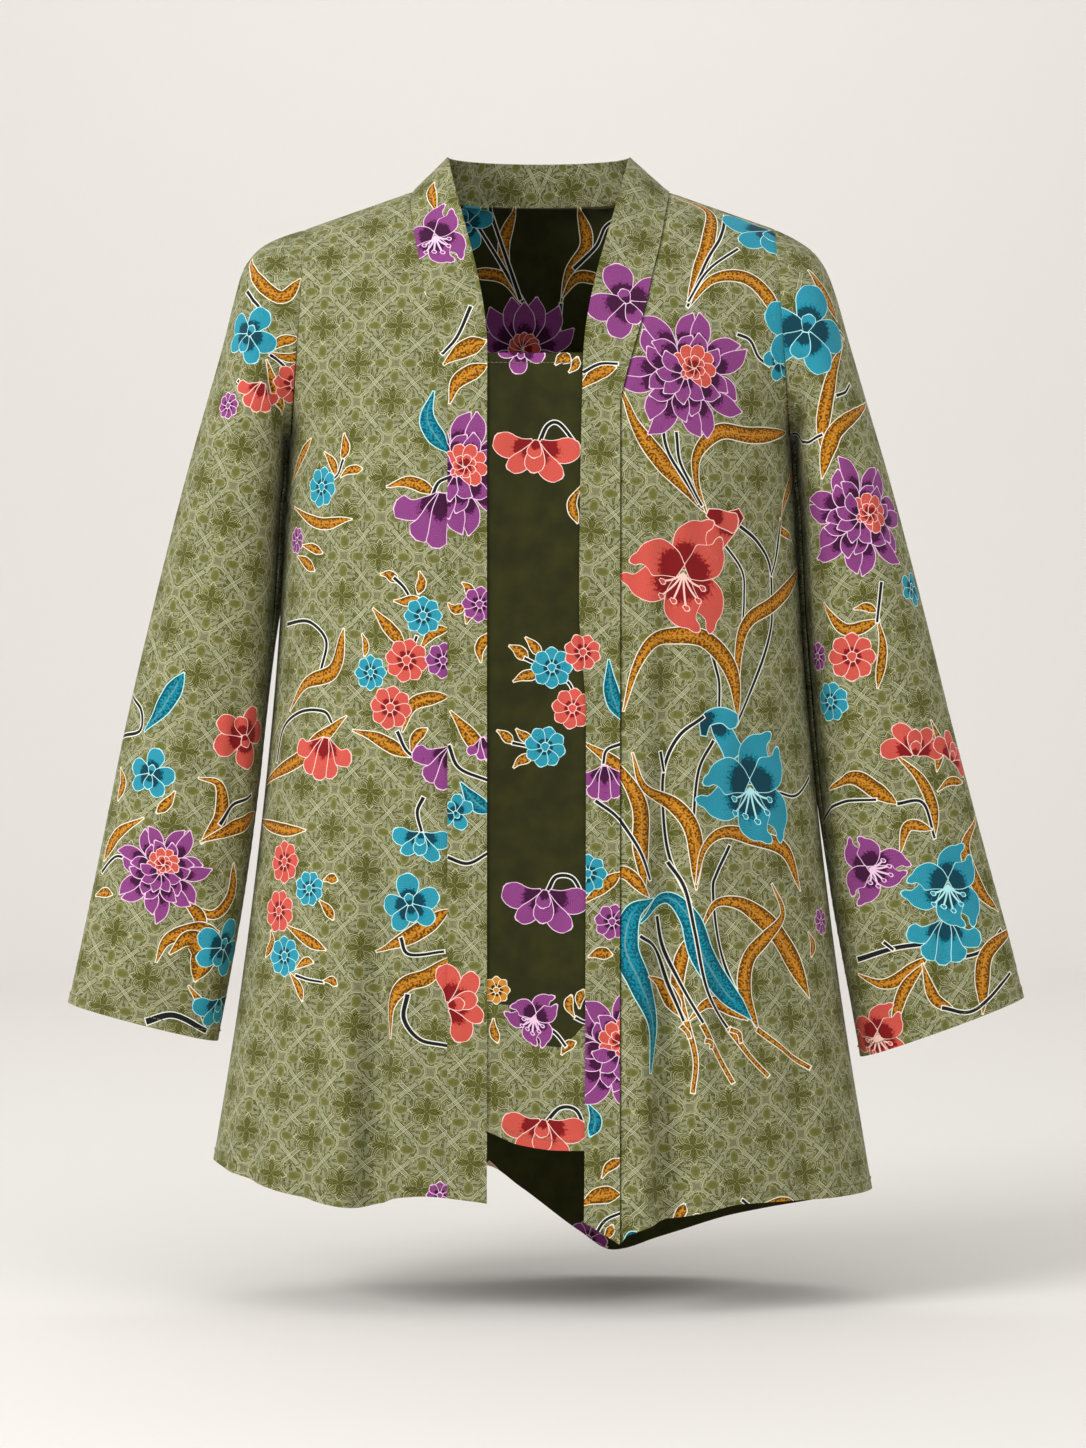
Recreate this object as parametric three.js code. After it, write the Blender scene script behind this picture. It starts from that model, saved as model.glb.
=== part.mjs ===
import * as THREE from "three";

// A long kebaya with a kutubaru front, filled out as if worn, in millimetres.
// +X is the viewer's right, -Y the front and +Z up. Left and right are as seen from the front.
// Zero lies midway between the two points where the shoulder seams reach the neck band.

const WALL = 1.5; // cloth with its turned seams
const SEAM_GAP = 0.3; // between neighbouring pieces along a seam
const PANEL_GAP = 0.35; // between the bands and the panel behind them
const PANEL_TUCK = 12; // width of the panel hidden behind each band
const LONGEST_MITRE = 1.6; // of the wall, where two pieces meet at a sharp fold

// How finely the pieces are divided.
const ARMHOLE_ROWS = 12;
const SIDE_ROWS = 20;
const FRONT_COLUMNS = 12;
const NECK_COLUMNS = 10;
const BAND_COLUMNS = 3;
const PANEL_ROWS = 22;
const PANEL_COLUMNS = 6;
const SLEEVE_ROWS = 26;

// Armhole: an upright oval from the shoulder tip down to the underarm point.
const ARMHOLE = { tipX: 179, underarmX: 190, inset: 4, tipZ: -29, underarmZ: -187, halfDepth: 60 };
const NECK_POINT = { x: 98, y: 0, z: 0 }; // where shoulder seam and neck band meet
const BACK_NECK = { y: 56, z: -6 }; // lowest point of the back neckline
const BACK_BAND_TOP = { y: 48, z: 28 };
const BACK_FLAT = 62; // half width of the nearly flat middle of the back
const BACK_ROUND = 3; // how far the middle of the back stands out past that
const NECKLINE_ROWS = 4; // rows that take on the neckline's curve
const NAPE_ROWS = 9; // rows over which the nape blends into the back
const BAND_TOP = { z: 26, y: -5 }; // the band's free edge beside the neck
const FIRST_ROWS_DROP = 206; // height of the front edge beside the armhole rows
const FIRST_ROWS_POWER = 1.4;

// Half width of the body at the side seam, by height.
const SIDE = table("z halfWidth", [
  [-187, 190],
  [-354, 200],
  [-470, 211],
  [-607, 228],
  [-757, 252],
]);

// Depth of the body at the middle of the front and of the back, by height.
const DEPTH = table("z front back", [
  [0, 0, 0],
  [-3, -14, 14],
  [-8, -25, 25],
  [-22, -42, 42],
  [-50, -62, 62],
  [-90, -82, 78],
  [-135, -97, 89],
  [-185, -107, 97],
  [-240, -113, 101],
  [-320, -114, 101],
  [-420, -112, 100],
  [-560, -112, 103],
  [-700, -116, 108],
  [-830, -119, 111],
]);

// How far each row of the body turns towards the side, in degrees, by row share down the armhole.
const TURN = table("share degrees", [
  [0, 20],
  [0.2, 28],
  [0.5, 42],
  [0.8, 62],
  [1, 90],
]);

// Seam between each front and its band, then the band's free edge, by height.
const BAND_EDGES = {
  left: {
    seam: table("z x", [
      [0, -98],
      [-11, -98],
      [-55, -91],
      [-70, -88.5],
      [-110, -78.5],
      [-151, -68.5],
      [-180, -68],
      [-820, -68],
    ]),
    free: table("z x", [
      [26, -70.5],
      [-132, -39],
      [-820, -39],
    ]),
  },
  right: {
    seam: table("z x", [
      [0, 98],
      [-11, 95.5],
      [-44, 89.5],
      [-73, 82.5],
      [-92, 78.5],
      [-153, 62],
      [-170, 58.5],
      [-820, 58],
    ]),
    free: table("z x", [
      [26, 68],
      [-136, 31.5],
      [-314, 28.5],
      [-390, 33.5],
      [-820, 31.5],
    ]),
  },
};
// How much higher the band's free edge lies than its seam, by height of the seam.
const BAND_RISE = table("z rise forward", [
  [0, 26, 5],
  [-11, 24, 6],
  [-30, 17, 6],
  [-55, 11, 5],
  [-90, 8, 3],
  [-151, 6, 1.5],
  [-206, 0, 1],
  [-820, 0, 1],
]);

// Hems, by distance from the middle.
const HEM = {
  left: table("x z", [
    [-249, -735],
    [-226, -742],
    [-193, -751],
    [-160, -757],
    [-132, -760],
    [-117, -756],
    [-103, -751],
    [-88, -750],
    [-39, -755],
  ]),
  right: table("x z", [
    [31, -768],
    [56, -787],
    [62, -779],
    [118, -763],
    [150, -757],
    [251, -757],
  ]),
  back: table("x z", [
    [-249, -735],
    [-180, -745],
    [-100, -750],
    [-42, -754],
    [-16, -771],
    [31, -806],
    [56, -820],
    [94, -810],
    [157, -789],
    [217, -774],
    [251, -757],
  ]),
  panel: table("x z", [
    [-51, -700],
    [-39, -703],
    [-15, -713],
    [14, -717],
    [44, -717],
  ]),
};
const PANEL_TOP = -132;
const PANEL_SAG = 2; // how far the panel's middle lies behind the bands
const HEM_CORNER = 252; // where the hem tables end at the side seams
const HEM_LEVEL = -760; // about where the bands end
const HEM_POWER = 3; // rows take on the hem's shape only near the hem

// Largest folds hanging in the body: place at top and hem, heights, widths and depth at the hem.
// The cloth stands out a little on both sides of each.
const FOLDS = table("side face topX hemX topZ width depth", [
  [-1, -1, -128, -120, -420, 15, 9],
  [-1, -1, -180, -190, -520, 17, 5],
  [1, -1, 92, 104, -330, 17, 6],
  [1, -1, 160, 176, -480, 19, 6],
  [1, 1, 60, 66, -420, 20, 8],
  [1, 1, 150, 165, -480, 19, 6],
  [-1, 1, -70, -78, -400, 20, 8],
  [-1, 1, -160, -176, -470, 19, 6],
]);

// Sleeves as rings from armhole to cuff. The outer point follows the shoulder and the back of the
// arm, the inner point the underarm seam. Depth is half the ring's depth, crease how far its front
// inner corner stands out, tuck how far its inner side reaches in behind the body, and forward how
// far the ring lies to the front.
const SLEEVE_COLUMNS = "share outerX outerZ innerX innerZ depth crease tuck forward";
const SLEEVE = {
  left: table(SLEEVE_COLUMNS, [
    [0, 179, -29, 190, -187, 60, 0, 0, 0],
    [0.03, 197, -35, 193.5, -188.5, 61, 0.01, 0, 0],
    [0.06, 213, -43.5, 194.5, -193, 62, 0.03, 4, 0],
    [0.1, 225.5, -59.5, 194.5, -204, 62.5, 0.05, 6, 0],
    [0.15, 232.5, -83, 195.5, -220, 62.5, 0.07, 7, 0],
    [0.21, 241, -117, 198, -242, 61.5, 0.09, 6, 0],
    [0.29, 254, -163, 199.5, -272, 59.5, 0.1, 7, 1],
    [0.38, 270.5, -222, 201.5, -305, 57, 0.1, 7, 2],
    [0.52, 293.5, -314, 204.5, -349, 52, 0.1, 4, 4],
    [0.66, 315, -407, 211, -430, 46, 0.09, 0, 6],
    [0.8, 333, -497, 222.5, -522, 40, 0.08, 0, 8],
    [0.93, 350.5, -582, 237.5, -609, 34, 0.06, 0, 10],
    [1, 358, -616, 244.5, -645, 31, 0.05, 0, 10],
  ]),
  right: table(SLEEVE_COLUMNS, [
    [0, 179, -29, 190, -187, 60, 0, 0, 0],
    [0.03, 196, -38, 193.5, -188.5, 61, 0.01, 0, 0],
    [0.06, 208, -47, 194.5, -193, 62, 0.03, 4, 0],
    [0.1, 217, -60, 194.5, -204, 62.5, 0.05, 6, 0],
    [0.15, 224.5, -80, 195.5, -220, 62.5, 0.07, 7, 0],
    [0.21, 234, -113, 198, -242, 61.5, 0.09, 6, 0],
    [0.29, 248, -161, 199.5, -272, 59.5, 0.1, 7, 1],
    [0.38, 266, -222, 201, -305, 57, 0.1, 7, 2],
    [0.52, 290, -314, 204.5, -356, 52, 0.1, 8, 4],
    [0.66, 313, -407, 211.5, -440, 46, 0.09, 7, 6],
    [0.8, 336.5, -497, 221, -532, 40, 0.08, 2, 8],
    [0.93, 359.5, -582, 236, -621, 34, 0.06, 0, 10],
    [1, 366.5, -612, 242.5, -657, 31, 0.05, 0, 10],
  ]),
};
const SLEEVE_CROWDING = 1.25; // rings lie closer together at the armhole
const CREASE_ANGLE = 45; // degrees from the underarm seam, towards the front
const CREASE_SPREAD = 20;
const TUCK_ANGLE = 335; // on the inner side, a little behind the underarm seam
const TUCK_SPREAD = 22;

const CLOTH = { color: 0x8d9270, roughness: 0.9 };
const DARK_CLOTH = { color: 0x4a4d2e, roughness: 0.9 };

// A short table whose first argument names its columns.
function table(names, rows) {
  const columns = names.split(" ");
  return { rows, column: (name) => rows.map((row) => row[columns.indexOf(name)]) };
}

// Reads a column where the table's first column equals a value, on a smooth curve with no overshoot.
function read(source, name, at) {
  const keys = source.rows.map((row) => row[0]);
  const values = source.column(name);
  const rising = keys[1] > keys[0] ? 1 : -1;
  const inside = rising * Math.min(Math.max(rising * at, rising * keys[0]), rising * keys.at(-1));
  let k = keys.findIndex((key, i) => i > 0 && rising * (key - inside) >= 0);
  k = Math.max(k, 1) - 1;
  const slope = (i) => (values[i + 1] - values[i]) / (keys[i + 1] - keys[i]);
  const tangent = (i) => {
    if (i === 0) {
      return slope(0);
    }
    if (i === keys.length - 1) {
      return slope(i - 1);
    }
    const before = slope(i - 1);
    const after = slope(i);
    return before * after <= 0 ? 0 : (2 * before * after) / (before + after);
  };
  const width = keys[k + 1] - keys[k];
  const t = (inside - keys[k]) / width;
  const near = (1 + 2 * t) * (1 - t) ** 2 * values[k] + t * (1 - t) ** 2 * width * tangent(k);
  const far = t * t * (3 - 2 * t) * values[k + 1] - t * t * (1 - t) * width * tangent(k + 1);
  return near + far;
}

const mix = (a, b, t) => a + (b - a) * t;
const vector = (x, y, z) => new THREE.Vector3(x, y, z);
const radians = (degrees) => (degrees * Math.PI) / 180;

const FOLD_GROWTH = 1.3;
const FOLD_SHOULDER = 0.35;

// Depth of the folds at a place on the body, positive towards the inside.
function foldDepth(face, x, z, hemZ) {
  let depth = 0;
  for (const [, foldFace, topX, hemX, topZ, width, deepest] of FOLDS.rows) {
    const down = Math.min(Math.max((topZ - z) / (topZ - hemZ), 0), 1);
    const across = (x - mix(topX, hemX, down)) / width;
    if (foldFace === face) {
      const trough = Math.exp(-(across ** 2)) - FOLD_SHOULDER * Math.exp(-((across / 2) ** 2));
      depth += deepest * down ** FOLD_GROWTH * trough;
    }
  }
  return depth;
}

// A point of the outer edge of a front or the back: the armhole, then the side seam.
function outerEdge(sign, face, row) {
  if (row <= ARMHOLE_ROWS) {
    const angle = (Math.PI * row) / ARMHOLE_ROWS;
    const down = (1 - Math.cos(angle)) / 2;
    const x = mix(ARMHOLE.tipX, ARMHOLE.underarmX, down) - ARMHOLE.inset * Math.sin(angle);
    const z = mix(ARMHOLE.tipZ, ARMHOLE.underarmZ, down);
    return vector(sign * x, face * ARMHOLE.halfDepth * Math.sin(angle), z);
  }
  const share = (row - ARMHOLE_ROWS) / SIDE_ROWS;
  const hem = sign < 0 ? HEM.left.rows[0][1] : HEM.right.rows.at(-1)[1];
  const z = mix(ARMHOLE.underarmZ, hem, share);
  return vector(sign * read(SIDE, "halfWidth", z), 0, z);
}

// Height of a row where it starts, at the band or at the middle of the back.
function innerHeight(row, hemZ) {
  if (row <= ARMHOLE_ROWS) {
    return -FIRST_ROWS_DROP * (row / ARMHOLE_ROWS) ** FIRST_ROWS_POWER;
  }
  return mix(-FIRST_ROWS_DROP, hemZ, (row - ARMHOLE_ROWS) / SIDE_ROWS);
}

// One row of the body from its inner end to its outer edge, turning towards the side.
function bodyRow(inner, outer, face, row, hemTable, columns) {
  const share = Math.min(row / ARMHOLE_ROWS, 1);
  const turn = radians(read(TURN, "degrees", share));
  const below = Math.max(row - ARMHOLE_ROWS, 0) / SIDE_ROWS;
  const points = [];
  for (let i = 0; i <= columns; i++) {
    const angle = (turn * i) / columns;
    const along = Math.sin(angle) / Math.sin(turn);
    const back = (1 - Math.cos(angle)) / (1 - Math.cos(turn));
    const x = mix(inner.x, outer.x, along);
    const straight = mix(inner.z, outer.z, along);
    const hem = read(hemTable, "z", mix(inner.hemX, outer.hemX, along));
    const z = straight + below ** HEM_POWER * (hem - mix(inner.hem, outer.hem, along));
    const folded = face * foldDepth(face, x, z, hem) * (1 - back ** 3);
    points.push(vector(x, mix(inner.y, outer.y, back) - folded, z));
  }
  return points;
}

function frontGrid(side) {
  const sign = side === "left" ? -1 : 1;
  const hemTable = HEM[side];
  const lastSeam = read(BAND_EDGES[side].seam, "x", HEM_LEVEL);
  const innerHem = read(hemTable, "z", lastSeam);
  const corner = outerEdge(sign, -1, ARMHOLE_ROWS + SIDE_ROWS);
  const rows = [];
  for (let row = 0; row <= ARMHOLE_ROWS + SIDE_ROWS; row++) {
    const z = innerHeight(row, innerHem);
    const x = read(BAND_EDGES[side].seam, "x", z);
    const inner = { x, y: read(DEPTH, "front", z), z, hemX: lastSeam, hem: innerHem };
    const { x: outerX, y, z: outerZ } = outerEdge(sign, -1, row);
    const outer = { x: outerX, y, z: outerZ, hemX: sign * HEM_CORNER, hem: corner.z };
    rows.push(bodyRow(inner, outer, -1, row, hemTable, FRONT_COLUMNS));
  }
  return rows;
}

// The back's rows run from the left edge to the right one. The middle columns end in the neckline.
function backGrid() {
  const rows = [];
  for (let row = 0; row <= ARMHOLE_ROWS + SIDE_ROWS; row++) {
    const settle = Math.min(row / NECKLINE_ROWS, 1);
    const nape = Math.min(row / NAPE_ROWS, 1);
    const below = Math.max(row - ARMHOLE_ROWS, 0) / SIDE_ROWS;
    const halves = [-1, 1].map((sign) => {
      const hemX = sign * BACK_FLAT;
      const innerHem = read(HEM.back, "z", hemX);
      const height = innerHeight(row, innerHem);
      const startX = sign * mix(NECK_POINT.x, BACK_FLAT, Math.min(row / ARMHOLE_ROWS, 1));
      const inner = { x: startX, y: read(DEPTH, "back", height), z: height, hemX, hem: innerHem };
      const corner = outerEdge(sign, 1, ARMHOLE_ROWS + SIDE_ROWS);
      const { x, y, z } = outerEdge(sign, 1, row);
      const end = { x, y, z, hemX: sign * HEM_CORNER, hem: corner.z };
      return bodyRow(inner, end, 1, row, HEM.back, FRONT_COLUMNS);
    });
    const [left, right] = halves.map((half) => half[0]);
    const middle = [];
    for (let i = 1; i < NECK_COLUMNS; i++) {
      const even = i / NECK_COLUMNS;
      const round = (1 - Math.cos(Math.PI * even)) / 2;
      const share = mix(round, even, settle);
      const x = mix(left.x, right.x, share);
      const rise = (4 * share * (1 - share)) ** mix(0.5, 2, settle);
      const centreY = mix(BACK_NECK.y, 0, nape ** 0.55) + BACK_ROUND * settle;
      const centreZ = BACK_NECK.z * (1 - settle);
      const across = (value) => value(x) - mix(value(left.x), value(right.x), share);
      const hemChange = across((at) => read(HEM.back, "z", at));
      const z = mix(left.z, right.z, share) + centreZ * rise + below ** HEM_POWER * hemChange;
      const folded = across((at) => foldDepth(1, at, z, HEM_LEVEL));
      middle.push(vector(x, mix(left.y, right.y, share) + centreY * rise - folded, z));
    }
    rows.push([...halves[0].toReversed(), ...middle, ...halves[1]]);
  }
  return rows;
}

// The band starts at the middle of the back neck and runs down the front edge to the hem.
function bandGrid(side, front, back) {
  const sign = side === "left" ? -1 : 1;
  const edges = BAND_EDGES[side];
  const rows = [];
  const half = NECK_COLUMNS / 2;
  for (let k = 0; k < half; k++) {
    const seam = back[0][FRONT_COLUMNS + half + sign * k].clone();
    const round = (Math.PI / 2) * (k / half);
    const x = read(edges.free, "x", BAND_TOP.z) * Math.sin(round);
    const y = mix(BAND_TOP.y, BACK_BAND_TOP.y, Math.cos(round));
    const z = mix(BAND_TOP.z, BACK_BAND_TOP.z, Math.cos(round));
    rows.push(acrossBand(seam, vector(x, y, z)));
  }
  const last = front.length - 1;
  for (let row = 0; row <= last; row++) {
    const seam = front[row][0].clone();
    const rise = read(BAND_RISE, "rise", seam.z);
    const freeZ = seam.z + rise;
    const x = read(edges.free, "x", freeZ);
    const forward = read(BAND_RISE, "forward", seam.z);
    const hemStep = (row / last) ** (2 * HEM_POWER) * (read(HEM[side], "z", x) - seam.z);
    rows.push(acrossBand(seam, vector(x, seam.y - forward, freeZ + hemStep)));
  }
  return rows;
}

function acrossBand(seam, free) {
  const points = [];
  for (let i = 0; i <= BAND_COLUMNS; i++) {
    points.push(seam.clone().lerp(free, i / BAND_COLUMNS));
  }
  return points;
}

// A point on a band's outer face at a height, a given width in from its free edge.
function onBand(band, height, tuck) {
  const at = (row) => {
    const [free, seam] = [row.at(-1), row[0]];
    const width = free.distanceTo(seam);
    return free.clone().lerp(seam, tuck / width);
  };
  let k = 1;
  while (k < band.length - 1 && at(band[k]).z > height) {
    k += 1;
  }
  const upper = at(band[k - 1]);
  const lower = at(band[k]);
  return upper.lerp(lower, (upper.z - height) / (upper.z - lower.z));
}

// The panel follows the backs of the two bands and hangs nearly flat between them.
function panelGrid(leftBand, rightBand) {
  const behind = WALL + PANEL_GAP;
  const rows = [];
  for (let j = 0; j <= PANEL_ROWS; j++) {
    const share = j / PANEL_ROWS;
    const hems = [HEM.panel.rows[0][1], HEM.panel.rows.at(-1)[1]];
    const ends = [leftBand, rightBand].map((band, k) => {
      const height = mix(PANEL_TOP, hems[k], share);
      return [onBand(band, height, PANEL_TUCK), onBand(band, height, 0)];
    });
    const [[leftEnd, left], [rightEnd, right]] = ends;
    const across = [leftEnd];
    for (let i = 0; i <= PANEL_COLUMNS; i++) {
      const t = i / PANEL_COLUMNS;
      const point = left.clone().lerp(right, t);
      point.y += PANEL_SAG * Math.sin(Math.PI * t) ** 2;
      const hem = read(HEM.panel, "z", point.x);
      point.z += share ** HEM_POWER * (hem - mix(hems[0], hems[1], t));
      across.push(point);
    }
    across.push(rightEnd);
    rows.push(across.map((point) => point.clone().add(vector(0, behind, 0))));
  }
  return rows;
}

// Rings round the sleeve, from the underarm seam over the front, the top and the back.
function sleeveGrid(side) {
  const sign = side === "left" ? -1 : 1;
  const rings = SLEEVE[side];
  const around = 2 * ARMHOLE_ROWS;
  const rows = [];
  for (let j = 0; j <= SLEEVE_ROWS; j++) {
    const share = (j / SLEEVE_ROWS) ** SLEEVE_CROWDING;
    const at = (name) => read(rings, name, share);
    const inner = vector(sign * at("innerX"), -at("forward"), at("innerZ"));
    const outer = vector(sign * at("outerX"), -at("forward"), at("outerZ"));
    const centre = inner.clone().lerp(outer, 0.5);
    const leaving = Math.max(1 - share / rings.rows[1][0], 0);
    const ring = [];
    for (let i = 0; i < around; i++) {
      const degrees = (360 * i) / around;
      const angle = radians(degrees);
      const crease = at("crease") * Math.exp(-(((degrees - CREASE_ANGLE) / CREASE_SPREAD) ** 2));
      const point = inner.clone().sub(centre).multiplyScalar(Math.cos(angle));
      point.y -= at("depth") * Math.sin(angle);
      const tuck = at("tuck") * Math.exp(-(((degrees - TUCK_ANGLE) / TUCK_SPREAD) ** 2));
      point.multiplyScalar(1 + crease).add(centre);
      point.x -= sign * (tuck + leaving * ARMHOLE.inset * Math.abs(Math.sin(angle)));
      ring.push(point);
    }
    rows.push(ring);
  }
  return rows;
}

// A piece of cloth: its outer points in rows, with the outward normal of each point.
function piece(name, points, look, closed = false, flip = false) {
  const rows = points.length;
  const columns = points[0].length;
  const normals = points.map((row, j) =>
    row.map((point, i) => {
      const up = points[Math.max(j - 1, 0)][i];
      const down = points[Math.min(j + 1, rows - 1)][i];
      const before = closed ? row[(i + columns - 1) % columns] : row[Math.max(i - 1, 0)];
      const after = closed ? row[(i + 1) % columns] : row[Math.min(i + 1, columns - 1)];
      const normal = down.clone().sub(up).cross(after.clone().sub(before)).normalize();
      return flip ? normal.negate() : normal;
    }),
  );
  const mitres = points.map((row) => row.map(() => 1));
  return { name, points, normals, mitres, look, closed, flip };
}

// Points of two pieces that coincide get one direction for the wall, so that seams stay even.
function shareNormals(pieces) {
  const meeting = new Map();
  const longest = new Map();
  const key = (point) => [point.x, point.y, point.z].map((value) => Math.round(value * 500)).join();
  const each = (visit) => {
    for (const cloth of pieces) {
      cloth.points.forEach((row, j) => row.forEach((point, i) => visit(cloth, j, i, key(point))));
    }
  };
  each((cloth, j, i, place) => {
    const sum = meeting.get(place) ?? vector(0, 0, 0);
    meeting.set(place, sum.add(cloth.normals[j][i]));
  });
  each((cloth, j, i, place) => {
    const shared = meeting.get(place).clone().normalize();
    const mitre = 1 / Math.max(shared.dot(cloth.normals[j][i]), 1 / LONGEST_MITRE);
    longest.set(place, Math.max(mitre, longest.get(place) ?? 1));
    cloth.normals[j][i] = shared;
  });
  each((cloth, j, i, place) => {
    cloth.mitres[j][i] = longest.get(place);
  });
}

// Draws an edge in by half the seam gap, towards the next points of its own piece.
function drawIn(cloth, edge) {
  const { points } = cloth;
  const last = points.length - 1;
  const width = points[0].length - 1;
  const move = (point, next) => {
    point.add(next.clone().sub(point).normalize().multiplyScalar(SEAM_GAP / 2));
  };
  if (edge === "top") {
    points[0].forEach((point, i) => move(point, points[1][i]));
  } else if (edge === "bottom") {
    points[last].forEach((point, i) => move(point, points[last - 1][i]));
  } else if (edge === "start") {
    points.forEach((row) => move(row[0], row[1]));
  } else {
    points.forEach((row) => move(row[width], row[width - 1]));
  }
}

// Thickens a piece inwards into one closed solid.
function solid(cloth) {
  const { points, normals, mitres, closed, flip } = cloth;
  const rows = points.length;
  const columns = points[0].length;
  const positions = [];
  const put = (point) => positions.push(point.x, point.y, point.z);
  points.forEach((row) => row.forEach(put));
  points.forEach((row, j) =>
    row.forEach((point, i) => {
      put(point.clone().addScaledVector(normals[j][i], -WALL * mitres[j][i]));
    }),
  );
  const outer = (j, i) => j * columns + (i % columns);
  const inner = (j, i) => rows * columns + outer(j, i);
  const faces = [];
  const quad = (a, b, c, d) => {
    const [p, q, r, s] = flip ? [d, c, b, a] : [a, b, c, d];
    faces.push(p, q, r, p, r, s);
  };
  // The end wall between two neighbouring points. Both pieces of a seam divide it the same way.
  const order = (k) => positions[3 * k] + 2.3 * positions[3 * k + 1] + 3.7 * positions[3 * k + 2];
  const rim = (a, b, wallB, wallA) => {
    if (order(a) < order(b)) {
      quad(a, b, wallB, wallA);
    } else {
      quad(b, wallB, wallA, a);
    }
  };
  const spans = closed ? columns : columns - 1;
  for (let j = 0; j < rows - 1; j++) {
    for (let i = 0; i < spans; i++) {
      quad(outer(j, i), outer(j + 1, i), outer(j + 1, i + 1), outer(j, i + 1));
      quad(inner(j, i), inner(j, i + 1), inner(j + 1, i + 1), inner(j + 1, i));
    }
  }
  for (let i = 0; i < spans; i++) {
    rim(outer(0, i), outer(0, i + 1), inner(0, i + 1), inner(0, i));
    rim(outer(rows - 1, i + 1), outer(rows - 1, i), inner(rows - 1, i), inner(rows - 1, i + 1));
  }
  for (let j = 0; j < rows - 1 && !closed; j++) {
    const end = columns - 1;
    rim(outer(j + 1, 0), outer(j, 0), inner(j, 0), inner(j + 1, 0));
    rim(outer(j, end), outer(j + 1, end), inner(j + 1, end), inner(j, end));
  }
  const geometry = new THREE.BufferGeometry();
  geometry.setAttribute("position", new THREE.Float32BufferAttribute(positions, 3));
  geometry.setIndex(faces);
  geometry.computeVertexNormals();
  const mesh = new THREE.Mesh(geometry, new THREE.MeshStandardMaterial(cloth.look));
  mesh.name = cloth.name;
  return mesh;
}

const back = backGrid();
const fronts = { left: frontGrid("left"), right: frontGrid("right") };
const bands = {
  left: bandGrid("left", fronts.left, back),
  right: bandGrid("right", fronts.right, back),
};
const panel = panelGrid(bands.left, bands.right);

const pieces = {
  back: piece("back", back, DARK_CLOTH, false, true),
  frontLeft: piece("front_left", fronts.left, CLOTH, false, true),
  frontRight: piece("front_right", fronts.right, CLOTH),
  sleeveLeft: piece("sleeve_left", sleeveGrid("left"), CLOTH, true, true),
  sleeveRight: piece("sleeve_right", sleeveGrid("right"), CLOTH, true, false),
  bandLeft: piece("band_left", bands.left, CLOTH),
  bandRight: piece("band_right", bands.right, CLOTH, false, true),
  panel: piece("inner_panel", panel, DARK_CLOTH),
};
shareNormals(Object.values(pieces));
const SEWN_EDGES = {
  back: ["top", "start", "end"],
  frontLeft: ["top", "start", "end"],
  frontRight: ["top", "start", "end"],
  sleeveLeft: ["top"],
  sleeveRight: ["top"],
  bandLeft: ["top", "start"],
  bandRight: ["top", "start"],
};
for (const [name, edges] of Object.entries(SEWN_EDGES)) {
  edges.forEach((edge) => drawIn(pieces[name], edge));
}

const kebaya = new THREE.Group();
kebaya.name = "kebaya";
kebaya.add(...Object.values(pieces).map(solid));
export default kebaya;
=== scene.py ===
import math

import bpy
import numpy as np
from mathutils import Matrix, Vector
from mathutils.bvhtree import BVHTree
from mathutils.geometry import delaunay_2d_cdt


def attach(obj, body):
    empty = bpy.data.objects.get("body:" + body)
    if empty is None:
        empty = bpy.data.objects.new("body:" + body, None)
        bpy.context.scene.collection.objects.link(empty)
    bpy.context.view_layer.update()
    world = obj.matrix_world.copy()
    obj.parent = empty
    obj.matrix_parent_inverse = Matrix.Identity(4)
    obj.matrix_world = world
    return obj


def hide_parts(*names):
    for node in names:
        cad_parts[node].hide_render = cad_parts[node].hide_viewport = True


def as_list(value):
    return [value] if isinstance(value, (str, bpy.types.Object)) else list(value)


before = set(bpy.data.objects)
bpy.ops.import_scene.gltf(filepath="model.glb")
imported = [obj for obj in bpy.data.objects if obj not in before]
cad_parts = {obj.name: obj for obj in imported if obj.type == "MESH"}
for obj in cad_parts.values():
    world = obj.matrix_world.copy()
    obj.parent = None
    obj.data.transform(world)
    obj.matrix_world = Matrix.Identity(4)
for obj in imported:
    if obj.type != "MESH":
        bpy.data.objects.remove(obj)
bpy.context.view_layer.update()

# THE CLOTH. Plain-woven cotton, batik on both sides: garden flowers drawn in wax lines and
# dyed by brush over a sage lattice ground, or over dark olive on the back and inner panel.
# Lengths are in mm on the flat cloth, angles in degrees clockwise from straight up it.


def colour(code):
    """An sRGB hex colour as a linear one."""
    parts = [int(code[i : i + 2], 16) / 255 for i in (0, 2, 4)]
    return [p / 12.92 if p <= 0.04045 else ((p + 0.055) / 1.055) ** 2.4 for p in parts] + [1]


def table(names, rows):
    """A short table whose first argument names its columns; its first column rises."""
    rows = np.array(rows, float)
    if rows[0, 0] > rows[-1, 0]:
        rows = rows[::-1]
    return dict(zip(names.split(), rows.T))


def read(source, name, at):
    """A column where the table's first column equals a value, on a smooth curve with no overshoot."""
    keys, values = next(iter(source.values())), source[name]
    at = np.clip(at, keys[0], keys[-1])
    k = np.clip(np.searchsorted(keys, at, "right") - 1, 0, len(keys) - 2)
    width = np.diff(keys)
    slope = np.diff(values) / width
    before, after = slope[:-1], slope[1:]
    both = before + after
    middle = np.where(before * after > 0, 2 * before * after / np.where(both == 0, 1, both), 0)
    tangent = np.concatenate([slope[:1], middle, slope[-1:]])
    t = (at - keys[k]) / width[k]
    near = (1 + 2 * t) * (1 - t) ** 2 * values[k] + t * (1 - t) ** 2 * width[k] * tangent[k]
    return near + t * t * (3 - 2 * t) * values[k + 1] - t * t * (1 - t) * width[k] * tangent[k + 1]


def mix(a, b, t):
    """Part of the way, t, from one value to another."""
    return a + (b - a) * t


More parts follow.
